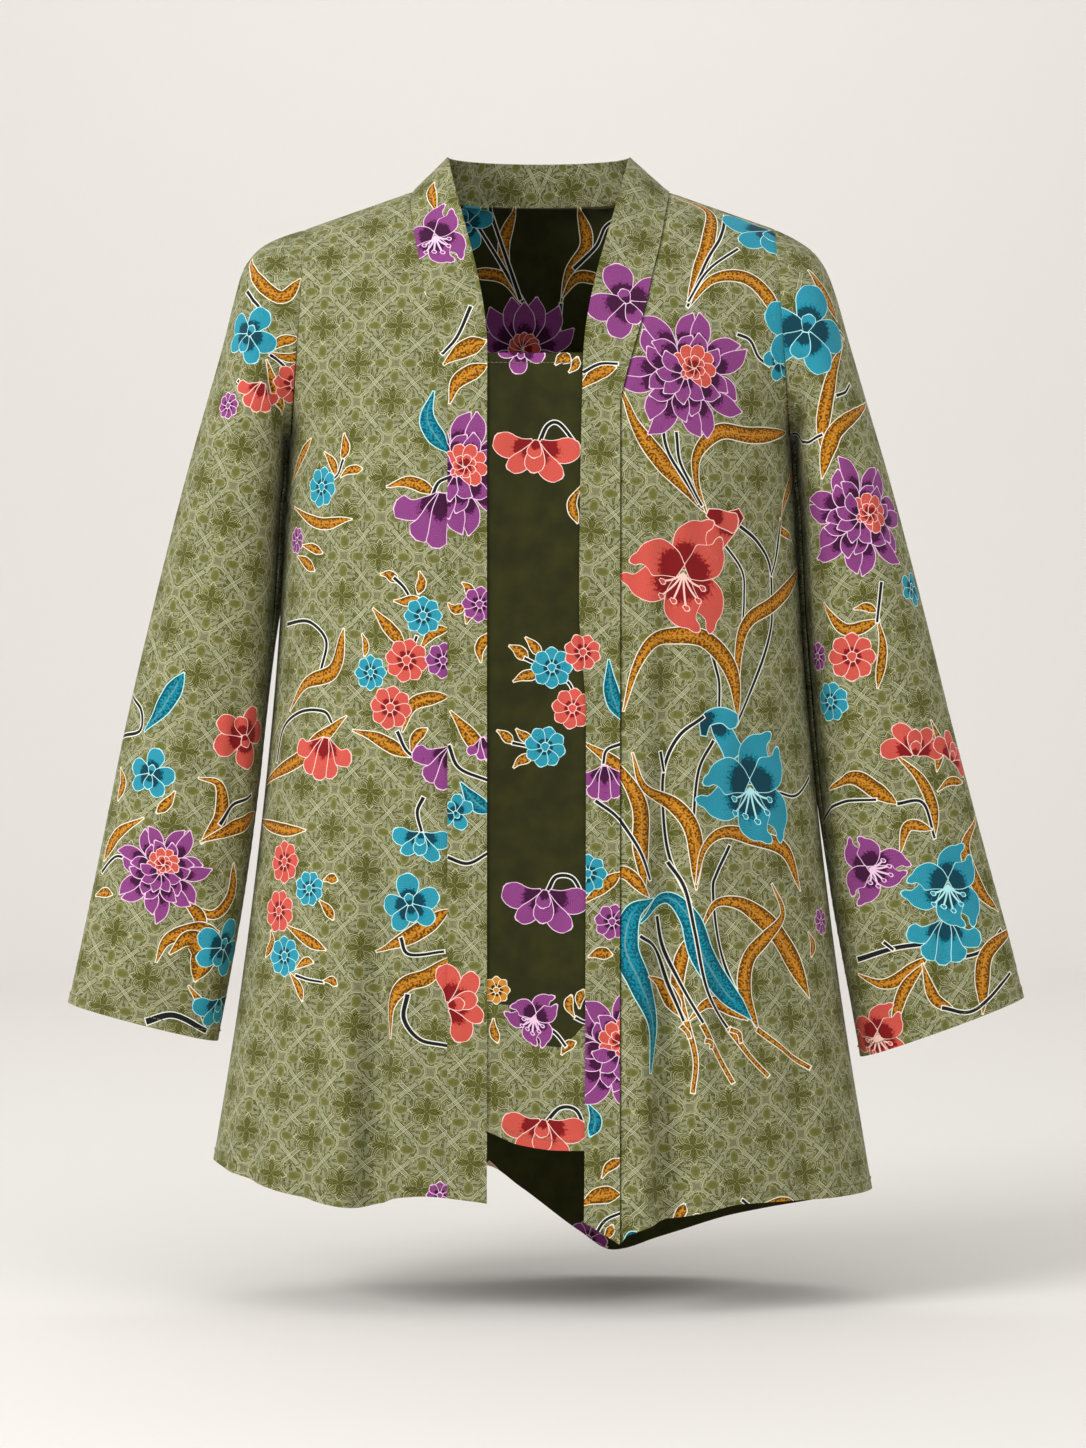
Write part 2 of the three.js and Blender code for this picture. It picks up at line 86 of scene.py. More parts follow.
# Each dye has a light tone, a dark one and the colour its wax outline took.
DYES = {
    "plum": ("9c3c90", "4a1040", "efc9e6"),
    "teal": ("00a6c0", "024a5c", "b5ecef"),
    "coral": ("f05a48", "981319", "fbcfc4"),
    "ochre": ("f09c0a", "3a200a", "f3ead0"),
    "vine": ("14181c", "14181c", "f0efe2"),
    "thread": ("efc9e6", "efc9e6", "efc9e6"),
    "foam": ("b5ecef", "b5ecef", "b5ecef"),
    "blush": ("fbcfc4", "fbcfc4", "fbcfc4"),
}
DARK_GROUND, SAGE_GROUND, WAX, STEM, PETAL, LEAF = range(6)
STROKE_STEP = 1.7
FINE_WAX, BROAD_WAX = 0.5, 0.6
SMALL_PETAL = 14
# Half the width of a stroke along its length, as shares of its greatest.
SHAPES = {
    "pointed": [(0, 0.3), (0.25, 0.7), (0.5, 1), (0.72, 0.86), (0.88, 0.45), (1, 0.04)],
    "round": [(0, 0.28), (0.3, 0.72), (0.65, 1), (0.85, 0.86), (0.96, 0.45), (1, 0.12)],
    "lily": [(0, 0.4), (0.25, 0.8), (0.48, 1), (0.7, 0.66), (0.84, 0.3), (0.93, 0.26), (1, 0.05)],
    "bell": [(0, 0.35), (0.35, 0.8), (0.75, 0.9), (0.9, 1), (1, 0.35)],
    "leaf": [(0, 0.06), (0.2, 0.42), (0.5, 0.95), (0.7, 1), (0.88, 0.6), (1, 0.03)],
    "stem": [(0, 1), (0.5, 0.85), (1, 0.75)],
}
SHAPES = {name: table("along half", rows) for name, rows in SHAPES.items()}


def curve(points):
    """Points at even steps along a smooth curve through the given ones, and its length."""
    points = np.array(points, float)
    ends = [2 * points[0] - points[1], 2 * points[-1] - points[-2]]
    p = np.concatenate([ends[:1], points, ends[1:]])
    t = np.linspace(0, 1, 16, endpoint=False)[:, None]
    runs = []
    for a, b, c, d in zip(p, p[1:], p[2:], p[3:]):
        bend = t**2 * (a - 2.5 * b + 2 * c - d / 2) + t**3 * (1.5 * (b - c) + (d - a) / 2)
        runs.append(b + t * (c - a) / 2 + bend)
    line = np.concatenate(runs + [points[-1:]])
    far = np.concatenate([[0], np.cumsum(np.linalg.norm(np.diff(line, axis=0), axis=1))])
    count = int(np.clip(far[-1] / STROKE_STEP, 5, 70))
    steps = np.linspace(0, far[-1], count + 1)
    return np.stack([np.interp(steps, far, line[:, k]) for k in (0, 1)], -1), far[-1]


def sideways(line):
    """Unit vectors square to a line, to its left when looking along it with the cloth's top up."""
    along = np.gradient(line, axis=0)
    return np.stack([along[:, 1], -along[:, 0]], -1) / np.linalg.norm(along, axis=1)[:, None]


def blade(drawing, points, width, shape, dye, kind, edge=0.75, depth=0.5):
    """One stroke of the print: a petal, leaf or stem along a curve, in the wax outline round it."""
    line, length = curve(points)
    side = sideways(line)
    share = np.linspace(0, 1, len(line))
    half = width / 2 * read(SHAPES[shape], "half", share)
    for kind_here, wide, ends in ((WAX, edge, edge), (kind, 0, 0)):
        spine = line.copy()
        spine[0] -= (line[1] - line[0]) / np.linalg.norm(line[1] - line[0]) * ends
        spine[-1] += (line[-1] - line[-2]) / np.linalg.norm(line[-1] - line[-2]) * ends * 1.4
        reach = (half + wide)[:, None] * side
        polygon = np.concatenate([spine + reach, (spine - reach)[::-1]])
        apart = np.linalg.norm(polygon - np.roll(polygon, 1, axis=0), axis=1) > 0.12
        drawing.append(
            {
                "polygon": polygon[apart],
                "line": line,
                "half": np.maximum(half, 0.2),
                "length": length,
                "kind": kind_here,
                "dye": dye,
                "depth": depth,
            }
        )


def petal(drawing, centre, angle, start, length, width, shape, dye, bend=0, depth=0.5):
    """A petal from a flower's centre: bend swings its tip round, in degrees."""
    steps = []
    for share in (0, 0.35, 0.7, 1):
        turn = np.radians(angle + bend * share**2)
        reach = start + length * share
        steps.append([centre[0] + reach * np.sin(turn), centre[1] - reach * np.cos(turn)])
    wax = FINE_WAX if length < SMALL_PETAL else BROAD_WAX
    blade(drawing, steps, width, shape, dye, PETAL, wax, depth)


def chrysanthemum(drawing, s, t, size, angle, dye):
    """Two rounds of pointed petals, then a short third round in front of a ruffled heart."""
    r = size
    for k in range(14):
        a = angle + k * 360 / 14
        length = r * (0.66 + 0.1 * np.sin(k * 2.4))
        petal(drawing, (s, t), a, r * 0.32, length, r * 0.29, "pointed", dye, 10 * (-1) ** k, 0.5)
    for k in range(11):
        a = angle + 14 + k * 360 / 11
        length = r * (0.46 + 0.06 * np.sin(k * 1.9))
        petal(drawing, (s, t), a, r * 0.18, length, r * 0.26, "pointed", dye, -12 * (-1) ** k, 0.68)
    up = (s + r * 0.16 * np.sin(np.radians(angle)), t - r * 0.16 * np.cos(np.radians(angle)))
    for k in range(9):
        petal(drawing, up, angle + k * 40, r * 0.06, r * 0.27, r * 0.2, "round", "coral", 16, 0.4)
    for k in range(7):
        petal(drawing, up, angle + 20 + k * 52, 0, r * 0.17, r * 0.13, "round", "coral", -20, 0.65)
    for k in range(5):
        a = angle + 180 + (k - 2) * 36
        petal(drawing, (s, t), a, r * 0.08, r * 0.36, r * 0.22, "pointed", dye, 8 * (k - 2), 0.35)


def lily(drawing, s, t, size, angle, dye):
    """Six petals with turned-back tips, and stamens on threads out of the throat."""
    r = size
    for k in (0, 2, 4, 1, 3, 5):
        a = angle + k * 60
        length = r * (0.93, 0.82, 1.0, 0.9, 0.98, 0.84)[k]
        bend = (24, -20, 26, -24, 20, -26)[k]
        petal(drawing, (s, t), a, r * 0.07, length, r * 0.6, "lily", dye, bend, 0.44)
    thread = {"plum": "thread", "teal": "foam", "coral": "blush"}[dye]
    for k in range(6):
        a = np.radians(angle + 180 + (k - 2.5) * 17)
        far = r * (0.4, 0.5, 0.56, 0.47, 0.52, 0.38)[k]
        swing = np.radians((k - 2.5) * 8)
        points = []
        for share in (0, 0.5, 1):
            points.append(
                [s + far * share * np.sin(a + swing * share), t - far * share * np.cos(a + swing * share)]
            )
        blade(drawing, points, 0.9, "stem", thread, STEM, 0.35)
        tip = points[-1]
        blade(
            drawing,
            [[tip[0] - r * 0.035, tip[1] - r * 0.03], [tip[0] + r * 0.045, tip[1] + r * 0.035]],
            r * 0.075,
            "round",
            dye,
            PETAL,
            0.6,
            0.2,
        )


def daisy(drawing, s, t, size, angle, dye):
    """Eight round petals and a small eye."""
    r = size
    for k in range(8):
        petal(drawing, (s, t), angle + k * 45, r * 0.18, r * 0.8, r * 0.62, "round", dye, 0, 0.3)
    blade(drawing, [[s, t + r * 0.2], [s, t - r * 0.2]], r * 0.4, "round", dye, PETAL, 0.5, 0)


def flatten(form, start, rows, columns, upright):
    """The flat cut of a curved piece, by laying its small triangles down as rigidly as they allow."""
    down = np.unique(np.linspace(0, form.shape[0] - 1, rows).round().astype(int))
    over = np.unique(np.linspace(0, form.shape[1] - 1, columns).round().astype(int))
    coarse = form[np.ix_(down, over)]
    index = np.arange(coarse.shape[0] * coarse.shape[1]).reshape(coarse.shape[:2])
    quads = (index[:-1, :-1], index[:-1, 1:], index[1:, 1:], index[1:, :-1])
    a, b, c, d = (v.ravel() for v in quads)
    corners = np.concatenate([np.stack([a, b, c], 1), np.stack([a, c, d], 1)])
    place = coarse.reshape(-1, 3)[corners]
    first, second = place[:, 1] - place[:, 0], place[:, 2] - place[:, 0]
    length = np.linalg.norm(first, axis=1)
    along = (first * second).sum(1) / length
    high = np.sqrt(np.maximum((second**2).sum(1) - along**2, 1e-6))
    flat = start[np.ix_(down, over)].reshape(-1, 2) @ (1, 1j)
    u = flat[corners]
    turning = np.sign(((u[:, 1] - u[:, 0]).conj() * (u[:, 2] - u[:, 0])).imag)
    q = np.stack([0 * length, length, along + 1j * turning * high], 1)
    size = len(flat)
    spread = 1e-6 * np.eye(size)
    sides = []
    for k in range(3):
        i, j = corners[:, k], corners[:, (k + 1) % 3]
        from_i, from_j = q[:, k] - q[:, k - 1], q[:, (k + 1) % 3] - q[:, k - 1]
        product = from_i.conj() * from_j
        weight = np.maximum(product.real / np.abs(product.imag), 0) / 2 + 0.05
        for m, n, w in ((i, i, weight), (j, j, weight), (i, j, -weight), (j, i, -weight)):
            np.add.at(spread, (m, n), w)
        sides.append((i, j, weight, from_j - from_i))
    solve = np.linalg.inv(spread)
    for _ in range(40):
        turn = sum(w * (flat[j] - flat[i]) * side.conj() for i, j, w, side in sides)
        turn = turn / np.abs(turn)
        pull = np.zeros((size, 2))
        for i, j, weight, side in sides:
            force = weight * turn * side
            force = np.stack([force.real, force.imag], 1)
            np.add.at(pull, j, force)
            np.add.at(pull, i, -force)
        flat = solve @ pull @ (1, 1j)
    flat = flat.reshape(coarse.shape[:2])
    fine = np.array([np.interp(np.arange(form.shape[1]), over, line) for line in flat])
    fine = np.array([np.interp(np.arange(form.shape[0]), down, line) for line in fine.T]).T
    top, bottom = fine[upright[0]], fine[upright[1]]
    fine = (fine - top) * 1j / ((bottom - top) / abs(bottom - top))
    return np.stack([fine.real, fine.imag], -1)


def first_guess(form, row, column, sign=1):
    """Across and down a piece along its own rows and columns, from one of each."""
    across = np.linalg.norm(np.diff(form, axis=1), axis=2)
    across = np.concatenate([np.zeros((len(form), 1)), across.cumsum(1)], 1)
    down = np.linalg.norm(np.diff(form, axis=0), axis=2)
    down = np.concatenate([np.zeros((1, form.shape[1])), down.cumsum(0)], 0)
    return np.stack([sign * (across - across[:, column : column + 1]), down - down[row]], -1)


def inside(points, polygon):
    """Which points a closed polygon winds round."""
    x, y = points[:, :1], points[:, 1:]
    a, b = polygon, np.roll(polygon, -1, axis=0)
    rises = (a[:, 1] <= y) & (b[:, 1] > y)
    falls = (b[:, 1] <= y) & (a[:, 1] > y)
    left = (b[:, 0] - a[:, 0]) * (y - a[:, 1]) - (x - a[:, 0]) * (b[:, 1] - a[:, 1])
    return ((rises & (left > 0)).sum(1) - (falls & (left < 0)).sum(1)) != 0


def in_parts(function, points, *rest):
    """A function of many points, worked out a few thousand at a time to spare memory."""
    parts = np.array_split(points, len(points) // 3000 + 1)
    return np.concatenate([function(part, *rest) for part in parts])


def from_line(points, line):
    """Distance of points from an open line."""
    a, run = line[:-1], np.diff(line, axis=0)
    x, y = points[:, :1] - a[:, 0], points[:, 1:] - a[:, 1]
    t = np.clip((x * run[:, 0] + y * run[:, 1]) / np.maximum((run**2).sum(1), 1e-9), 0, 1)
    return np.hypot(x - t * run[:, 0], y - t * run[:, 1]).min(1)


def crease_height(points, creases):
    """How far the creases lift or sink the cloth: soft troughs between rounded ridges."""
    height = np.zeros(len(points))
    for s0, t0, s1, t1, width, depth, bend in creases:
        run = np.array([s1 - s0, t1 - t0])
        long = np.linalg.norm(run)
        run = run / long
        away = points - (s0, t0)
        along = np.clip(away @ run / long, 0, 1)
        across = away @ np.array([-run[1], run[0]]) - bend * 4 * along * (1 - along)
        a = across / (width * (0.35 + 0.3 * along))
        fade = np.sin(np.pi * along) ** 0.8
        height += depth * fade * (0.45 * np.exp(-((np.abs(a) - 1.9) ** 2)) - np.exp(-(a**2)))
    return height


# Thickness of the cloth, spacing of the mesh's points, and sizes of hems, seams and stitches.
CLOTH_WALL = 1.0
EDGE_STEP = 2.4
ACROSS_STEP, DOWN_STEP = 5.8, 5.0
HEM_WIDTH, HEM_RISE = 9, 0.35
SEAM_GROOVE, SEAM_REACH = 0.7, 1.5
STITCH_INSET, THREAD_LIFT = 1.5, 0.08
STITCH_SIZES = {"Stitch length": 0.0023, "Step": 0.0031, "Thread width": 0.00045, "Slant": 0.09}
stitching = []


def sew(name, form, flat, seen_from, drawing, seams, hems, creases, ground):
    """One cut piece: printed flat, then laid on its form, with an inner side and closed rims.

    seen_from is 1 where the flat cut is seen from outside the garment and -1 from inside.
    seams are borders with the depth of the groove along them, hems are borders turned up.
    """
    borders = {"top": flat[0], "outer": flat[:, -1], "hem": flat[-1], "inner": flat[:, 0]}
    runs = (borders["top"], borders["outer"], borders["hem"][::-1], borders["inner"][::-1])
    outline = []
    for run in runs:
        far = np.concatenate([[0], np.cumsum(np.linalg.norm(np.diff(run, axis=0), axis=1))])
        steps = np.linspace(0, far[-1], max(int(far[-1] / EDGE_STEP), 2) + 1)[:-1]
        outline.append(np.stack([np.interp(steps, far, run[:, k]) for k in (0, 1)], -1))
    outline = np.concatenate(outline)
    low, high = outline.min(0), outline.max(0)
    random = np.random.default_rng(sum(map(ord, name)))
    across, down = np.meshgrid(
        np.arange(low[0], high[0], ACROSS_STEP), np.arange(low[1], high[1], DOWN_STEP)
    )
    across[::2] += ACROSS_STEP / 2
    filling = np.stack([across.ravel(), down.ravel()], -1)
    filling += random.uniform(-0.6, 0.6, filling.shape)
    closed = np.concatenate([outline, outline[:1]])
    filling = filling[in_parts(from_line, filling, closed) > 2.6]
    side = sideways(closed)[:-1]
    rings = [outline + side * d for d in (-1.4, 1.4)]
    for which in hems:
        run = borders[which][::3]
        ways = [way * HEM_WIDTH + d for way, d in ((-1, -0.4), (-1, 0.4), (1, -0.4), (1, 0.4))]
        rings += [run + sideways(run) * way for way in ways]
    filling = np.concatenate([filling] + rings)
    filling = filling[in_parts(inside, filling, outline)]
    points, edges, start = [], [], 0
    for polygon in [outline] + [part["polygon"] for part in drawing]:
        count = len(polygon)
        points.append(polygon)
        edges += [(start + k, start + (k + 1) % count) for k in range(count)]
        start += count
    points = np.concatenate(points + [filling])
    cut = delaunay_2d_cdt([Vector(p) for p in points.tolist()], edges, [], 0, 1e-3, False)
    points, faces = np.array([tuple(v) for v in cut[0]]), np.array(cut[2])
    faces = faces[in_parts(inside, points[faces].mean(1), outline)]
    used, faces = np.unique(faces, return_inverse=True)
    points, faces = points[used], faces.reshape(-1, 3)
    u, v = points[faces[:, 1]] - points[faces[:, 0]], points[faces[:, 2]] - points[faces[:, 0]]
    turn = u[:, 0] * v[:, 1] - u[:, 1] * v[:, 0]
    faces, turn = faces[np.abs(turn) > 1e-5], turn[np.abs(turn) > 1e-5]
    backward = turn * seen_from > 0
    faces[backward] = faces[backward][:, ::-1]

    centres = points[faces].mean(1)
    owner = np.full(len(faces), -1)
    for k, part in enumerate(drawing):
        polygon = part["polygon"]
        near = ((centres > polygon.min(0)) & (centres < polygon.max(0))).all(1).nonzero()[0]
        owner[near[inside(centres[near], polygon)]] = k
    ink, shade = np.zeros((len(faces), 4)), np.zeros((len(faces), 4))
    place = np.zeros((len(faces), 3, 4))
    ink[:, 3] = ground / 10
    for k in np.unique(owner[owner >= 0]):
        mine, part = owner == k, drawing[k]
        ink[mine, 3] = part["kind"] / 10
        if part["kind"] <= SAGE_GROUND:
            continue
        light, dark, wax = (colour(code)[:3] for code in DYES[part["dye"]])
        ink[mine, :3] = wax if part["kind"] == WAX else light
        shade[mine, :3] = dark
        shade[mine, 3] = part["depth"]
        spots = points[faces[mine]].reshape(-1, 2)
        line, half = part["line"], part["half"]
        nearest = np.linalg.norm(spots[:, None] - line, axis=2).argmin(1)
        across = ((spots - line[nearest]) * sideways(line)[nearest]).sum(1)
        sizes = (nearest / (len(line) - 1), np.clip(across / half[nearest], -1, 1))
        sizes += (0 * across + part["length"], half[nearest])
        place[mine] = np.stack(sizes, 1).reshape(-1, 3, 4)

    rows, columns = form.shape[:2]
    index = np.arange(rows * columns).reshape(rows, columns)
    quads = (index[:-1, :-1], index[:-1, 1:], index[1:, 1:], index[1:, :-1])
    a, b, c, d = (v.ravel() for v in quads)
    cells = np.concatenate([np.stack([a, b, c], 1), np.stack([a, c, d], 1)])
    spread = flat.reshape(-1, 2)
    tree = BVHTree.FromPolygons([(x, y, 0) for x, y in spread.tolist()], cells.tolist())
    over, down = np.gradient(form, axis=1), np.gradient(form, axis=0)
    turned_out = np.cross(over, down)
    u, v = np.gradient(flat, axis=1), np.gradient(flat, axis=0)
    turned_out *= -seen_from * np.sign(u[..., 0] * v[..., 1] - u[..., 1] * v[..., 0])[..., None]

    def lay(points):
        """Where flat points come to lie on the form, and which way is out there."""
        hits = [tree.find_nearest((x, y, 0)) for x, y in points.tolist()]
        spot = np.array([hit[0][:2] for hit in hits])
        cell = cells[[hit[2] for hit in hits]]
        a, b, c = (spread[cell[:, k]] - spot for k in range(3))
        pairs = ((b, c), (c, a), (a, b))
        shares = np.stack([p[:, 0] * q[:, 1] - p[:, 1] * q[:, 0] for p, q in pairs], 1)
        shares = (shares / shares.sum(1, keepdims=True))[..., None]
        solid = (form.reshape(-1, 3)[cell] * shares).sum(1)
        facing = (turned_out.reshape(-1, 3)[cell] * shares).sum(1)
        return solid, facing / np.linalg.norm(facing, axis=1)[:, None]

    solid, facing = lay(points)
    lift = in_parts(crease_height, points, creases)
    for which in hems:
        gap = in_parts(from_line, points, borders[which])
        lift += HEM_RISE * np.clip((HEM_WIDTH + 0.4 - gap) / 0.8, 0, 1)
    for which, depth in seams:
        gap = in_parts(from_line, points, borders[which])
        lift = lift * np.clip(0.15 + gap / 12, 0, 1) - depth * np.exp(-((gap / SEAM_REACH) ** 2))
    outer = solid + facing * lift[:, None]
    inner = outer - facing * CLOTH_WALL

    directed = np.concatenate([faces[:, [0, 1]], faces[:, [1, 2]], faces[:, [2, 0]]])
    code = directed.min(1) * len(points) + directed.max(1)
    _, back, count = np.unique(code, return_inverse=True, return_counts=True)
    lone = count[back] == 1
    rim, rim_home = directed[lone], np.tile(np.arange(len(faces)), 3)[lone]
    size = len(points)
    walls = np.stack([rim[:, 1], rim[:, 0], rim[:, 0] + size, rim[:, 1] + size], 1)
    inner_faces = faces[:, ::-1] + size
    mesh = bpy.data.meshes.new(name)
    mesh.from_pydata(
        (np.concatenate([outer, inner]) / 1000).tolist(),
        [],
        faces.tolist() + inner_faces.tolist() + walls.tolist(),
    )
    for title, values in (("ink", ink), ("shade", shade)):
        stored = mesh.attributes.new(title, "FLOAT_COLOR", "FACE")
        stored.data.foreach_set("color", np.concatenate([values, values, values[rim_home]]).ravel())
    edge_place = place[rim_home].mean(1)
    stored = mesh.attributes.new("place", "FLOAT_COLOR", "CORNER")
    corner = [place.reshape(-1, 4), place[:, ::-1].reshape(-1, 4), np.repeat(edge_place, 4, axis=0)]
    stored.data.foreach_set("color", np.concatenate(corner).ravel())
    cloth = points * (0.001, -0.001)
    faced, turned = cloth[faces].reshape(-1, 2), cloth[faces[:, ::-1]].reshape(-1, 2)
    walled = np.stack([cloth[rim[:, 1]], cloth[rim[:, 0]], cloth[rim[:, 0]], cloth[rim[:, 1]]], 1)
    mesh.uv_layers.new(name="cloth").data.foreach_set(
        "uv", np.concatenate([faced, turned, walled.reshape(-1, 2)]).ravel()
    )
    unit = (cloth - cloth.min(0)) / (cloth.max(0) - cloth.min(0)) * (0.485, 0.99) + (0.003, 0.005)
    faced = unit[faces].reshape(-1, 2)
    turned = unit[faces[:, ::-1]].reshape(-1, 2) + (0.505, 0)
    step = np.arange(len(rim))[:, None] / len(rim)
    thin = step + np.array([[0, 1, 1, 0]]) / len(rim)
    side = np.array([[0.493, 0.493, 0.502, 0.502]]) + 0 * step
    mesh.uv_layers.new(name="OFBake").data.foreach_set(
        "uv", np.concatenate([faced, turned, np.stack([side, thin], -1).reshape(-1, 2)]).ravel()
    )
    mesh.shade_smooth()
    mesh.set_sharp_from_angle(angle=math.radians(55))
    piece = bpy.data.objects.new("cloth_" + name, mesh)
    bpy.context.collection.objects.link(piece)
    onward = np.roll(outline, -1, axis=0)
    area = np.abs((outline[:, 0] * onward[:, 1] - outline[:, 1] * onward[:, 0]).sum()) / 2
    threads = []
    for number, which in enumerate(hems):
        run = borders[which]
        line = run + sideways(run) * (HEM_WIDTH - STITCH_INSET)
        if inside(line, outline).sum() < len(line) / 2:
            line = run - sideways(run) * (HEM_WIDTH - STITCH_INSET)
        line = line[inside(line, outline)]
        on_cloth, out = lay(line)
        raised = HEM_RISE + in_parts(crease_height, line, creases) + THREAD_LIFT
        threads.append(stitch("%s_stitches_%d" % (name, number), on_cloth + out * raised[:, None]))
    size = (high - low) / 1000
    return piece, threads, tuple(size), area / 1e6


def stitch_tree():
    """Lockstitches set at even steps along a line, each a short flattened length of thread."""
    tree = bpy.data.node_groups.new("Lockstitches along a line", "GeometryNodeTree")
    sockets = tree.interface
    sockets.new_socket("Line", in_out="INPUT", socket_type="NodeSocketGeometry")
    for title, value in STITCH_SIZES.items():
        made = sockets.new_socket(title, in_out="INPUT", socket_type="NodeSocketFloat")
        made.default_value = value
    made = sockets.new_socket("Seed", in_out="INPUT", socket_type="NodeSocketInt")
    made.default_value = 7
    sockets.new_socket("Thread", in_out="INPUT", socket_type="NodeSocketMaterial")
    sockets.new_socket("Stitches", in_out="OUTPUT", socket_type="NodeSocketGeometry")
    given = tree.nodes.new("NodeGroupInput")
    line, long, step, wide, slant, seed, thread = given.outputs[:7]
    curve_line = add(tree, "GeometryNodeMeshToCurve", line)
    evenly = tree.nodes.new("GeometryNodeResampleCurve")
    evenly.mode = "LENGTH"
    tree.links.new(curve_line, evenly.inputs["Curve"])
    tree.links.new(step, evenly.inputs["Length"])
    size = add(tree, "ShaderNodeCombineXYZ", long, wide, wide)
    one = add(tree, "GeometryNodeMeshCube", size)
    tangent = add(tree, "GeometryNodeInputTangent")
    along = add(tree, "FunctionNodeAlignRotationToVector", None, None, tangent, axis="X")
    least = add(tree, "ShaderNodeMath", slant, -1.0, operation="MULTIPLY")
    random = tree.nodes.new("FunctionNodeRandomValue")
    random.data_type = "FLOAT"
    for socket, value in ((2, least), (3, slant), ("Seed", seed)):
        tree.links.new(value, random.inputs[socket])
    swing = add(tree, "ShaderNodeCombineXYZ", 0.0, random.outputs[1], random.outputs[1])
    turned = add(tree, "FunctionNodeRotateRotation", along, swing, rotation_space="LOCAL")
    placed = tree.nodes.new("GeometryNodeInstanceOnPoints")
    for socket, value in (("Points", evenly.outputs[0]), ("Instance", one), ("Rotation", turned)):
        tree.links.new(value, placed.inputs[socket])
    real = add(tree, "GeometryNodeRealizeInstances", placed.outputs[0])
    threaded = add(tree, "GeometryNodeSetMaterial", real)
    tree.links.new(thread, threaded.node.inputs["Material"])
    given_back = tree.nodes.new("NodeGroupOutput")
    tree.links.new(threaded, given_back.inputs[0])
    return tree


def stitch(name, line):
    """One row of stitches along a line of points on the cloth, as a plain mesh."""
    if not stitching:
        stitching.append(stitch_tree())
        cotton = bpy.data.materials.new("Sewing thread, olive cotton")
        cotton.use_nodes = True
        thread = cotton.node_tree.nodes["Principled BSDF"]
        thread.inputs["Base Color"].default_value = colour("6f7048")
        thread.inputs["Roughness"].default_value = 0.7
        stitching.append(cotton)
    mesh = bpy.data.meshes.new(name)
    mesh.from_pydata((line / 1000).tolist(), [(k, k + 1) for k in range(len(line) - 1)], [])
    row = bpy.data.objects.new(name, mesh)
    bpy.context.collection.objects.link(row)
    made = row.modifiers.new("stitches", "NODES")
    made.node_group = stitching[0]
    for socket in stitching[0].interface.items_tree:
        if socket.name == "Thread" and socket.in_out == "INPUT":
            made[socket.identifier] = stitching[1]
    seen = row.evaluated_get(bpy.context.evaluated_depsgraph_get())
    plain = bpy.data.meshes.new_from_object(seen)
    row.modifiers.clear()
    row.data = plain
    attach(row, "root")
    return row


# Petals of the other flowers: turns in degrees, measures in shares of the flower's size.
FLOWERS = {
    "bell": """turn start length width bend shape
-40 0.05 0.85 0.42 -30 bell
40 0.05 0.85 0.42 30 bell
-15 0 0.95 0.42 -12 bell
15 0 0.95 0.42 12 bell
0 0 1.0 0.36 0 bell""",
    "pea": """turn start length width bend shape
-60 0.1 0.9 0.6 -30 round
58 0.1 0.85 0.58 34 round
-20 0.12 0.95 0.5 -20 round
24 0.1 0.85 0.44 18 round
-2 0.05 0.72 0.46 4 round
6 0 0.42 0.34 0 round""",
    "orchid": """turn start length width bend shape
0 0.05 0.9 0.66 8 round
76 0.05 0.85 0.64 10 round
-76 0.05 0.85 0.64 -10 round
142 0.05 0.8 0.54 -12 round
-142 0.05 0.8 0.54 12 round
180 0.02 0.5 0.36 0 round
0 0.0 0.34 0.26 0 round""",
    "lotus": """turn start length width bend shape
-84 0.15 0.85 0.34 16 pointed
84 0.15 0.85 0.34 -16 pointed
-52 0.15 0.86 0.4 12 pointed
52 0.15 0.86 0.4 -12 pointed
-20 0.12 0.85 0.42 6 pointed
20 0.12 0.85 0.42 -6 pointed
0 0.05 0.8 0.4 0 pointed
-120 0.1 0.6 0.3 20 pointed
120 0.1 0.6 0.3 -20 pointed
180 0.05 0.55 0.34 0 pointed""",
}


def fan(drawing, s, t, size, angle, dye, kind):
    """A flower from its list of petals, in shares of its size, the hindmost petal first."""
    for line in FLOWERS[kind].splitlines()[1:]:
        turn, start, length, width, bend = map(float, line.split()[:5])
        petal(
            drawing,
            (s, t),
            angle + turn,
            size * start,
            size * length,
            size * width,
            line.split()[5],
            dye,
            bend,
        )
    if kind == "lotus":
        for k in range(7):
            petal(drawing, (s, t), angle + (k - 3) * 30, 0, size * 0.3, size * 0.2, "round", "coral")


# Places in the photograph are read off in its picture points, 1086 across and 1448 down. The
# camera looks at the middle one from CAMERA_BACK mm in front of the garment's middle plane.
# Tables of drawing headed x y hold such points; those headed s t hold mm on the flat cut.
PICTURE_MIDDLE = (543, 724)
LOOKED_AT = (2, -405)
CAMERA_BACK = 2860
POINT_AT_MIDDLE, POINT_ON_CLOTH = 0.761, 0.745


def onto_cloth(form, flat):
    """A function that takes a picture point to the flat cut, by the nearest places of its form."""
    point = POINT_AT_MIDDLE * (CAMERA_BACK + form[..., 1]) / CAMERA_BACK
    across = PICTURE_MIDDLE[0] + (form[..., 0] - LOOKED_AT[0]) / point
    down = PICTURE_MIDDLE[1] - (form[..., 2] - LOOKED_AT[1]) / point
    seen, spread = np.stack([across, down], -1).reshape(-1, 2), flat.reshape(-1, 2)

    def place(picture_point):
        away = seen - picture_point
        near = np.argsort(np.linalg.norm(away, axis=1))[:12]
        terms = np.column_stack([away[near], np.ones(12)])
        return np.linalg.lstsq(terms, spread[near], rcond=None)[0][2]

    return place


def strokes_of(rows, place=None):
    """Leaves and stems, in mm on the flat cut, or in picture points where place is given."""
    strokes = []
    for row in rows.splitlines()[1:]:
        shape, dye, width, *points = row.split()
        width, points = float(width), np.array(points, float).reshape(-1, 2)
        if place:
            width = round(width * POINT_ON_CLOTH, 1)
            points = np.array([place(point) for point in points]).round()
        strokes.append((shape, dye, width, points))
    return strokes


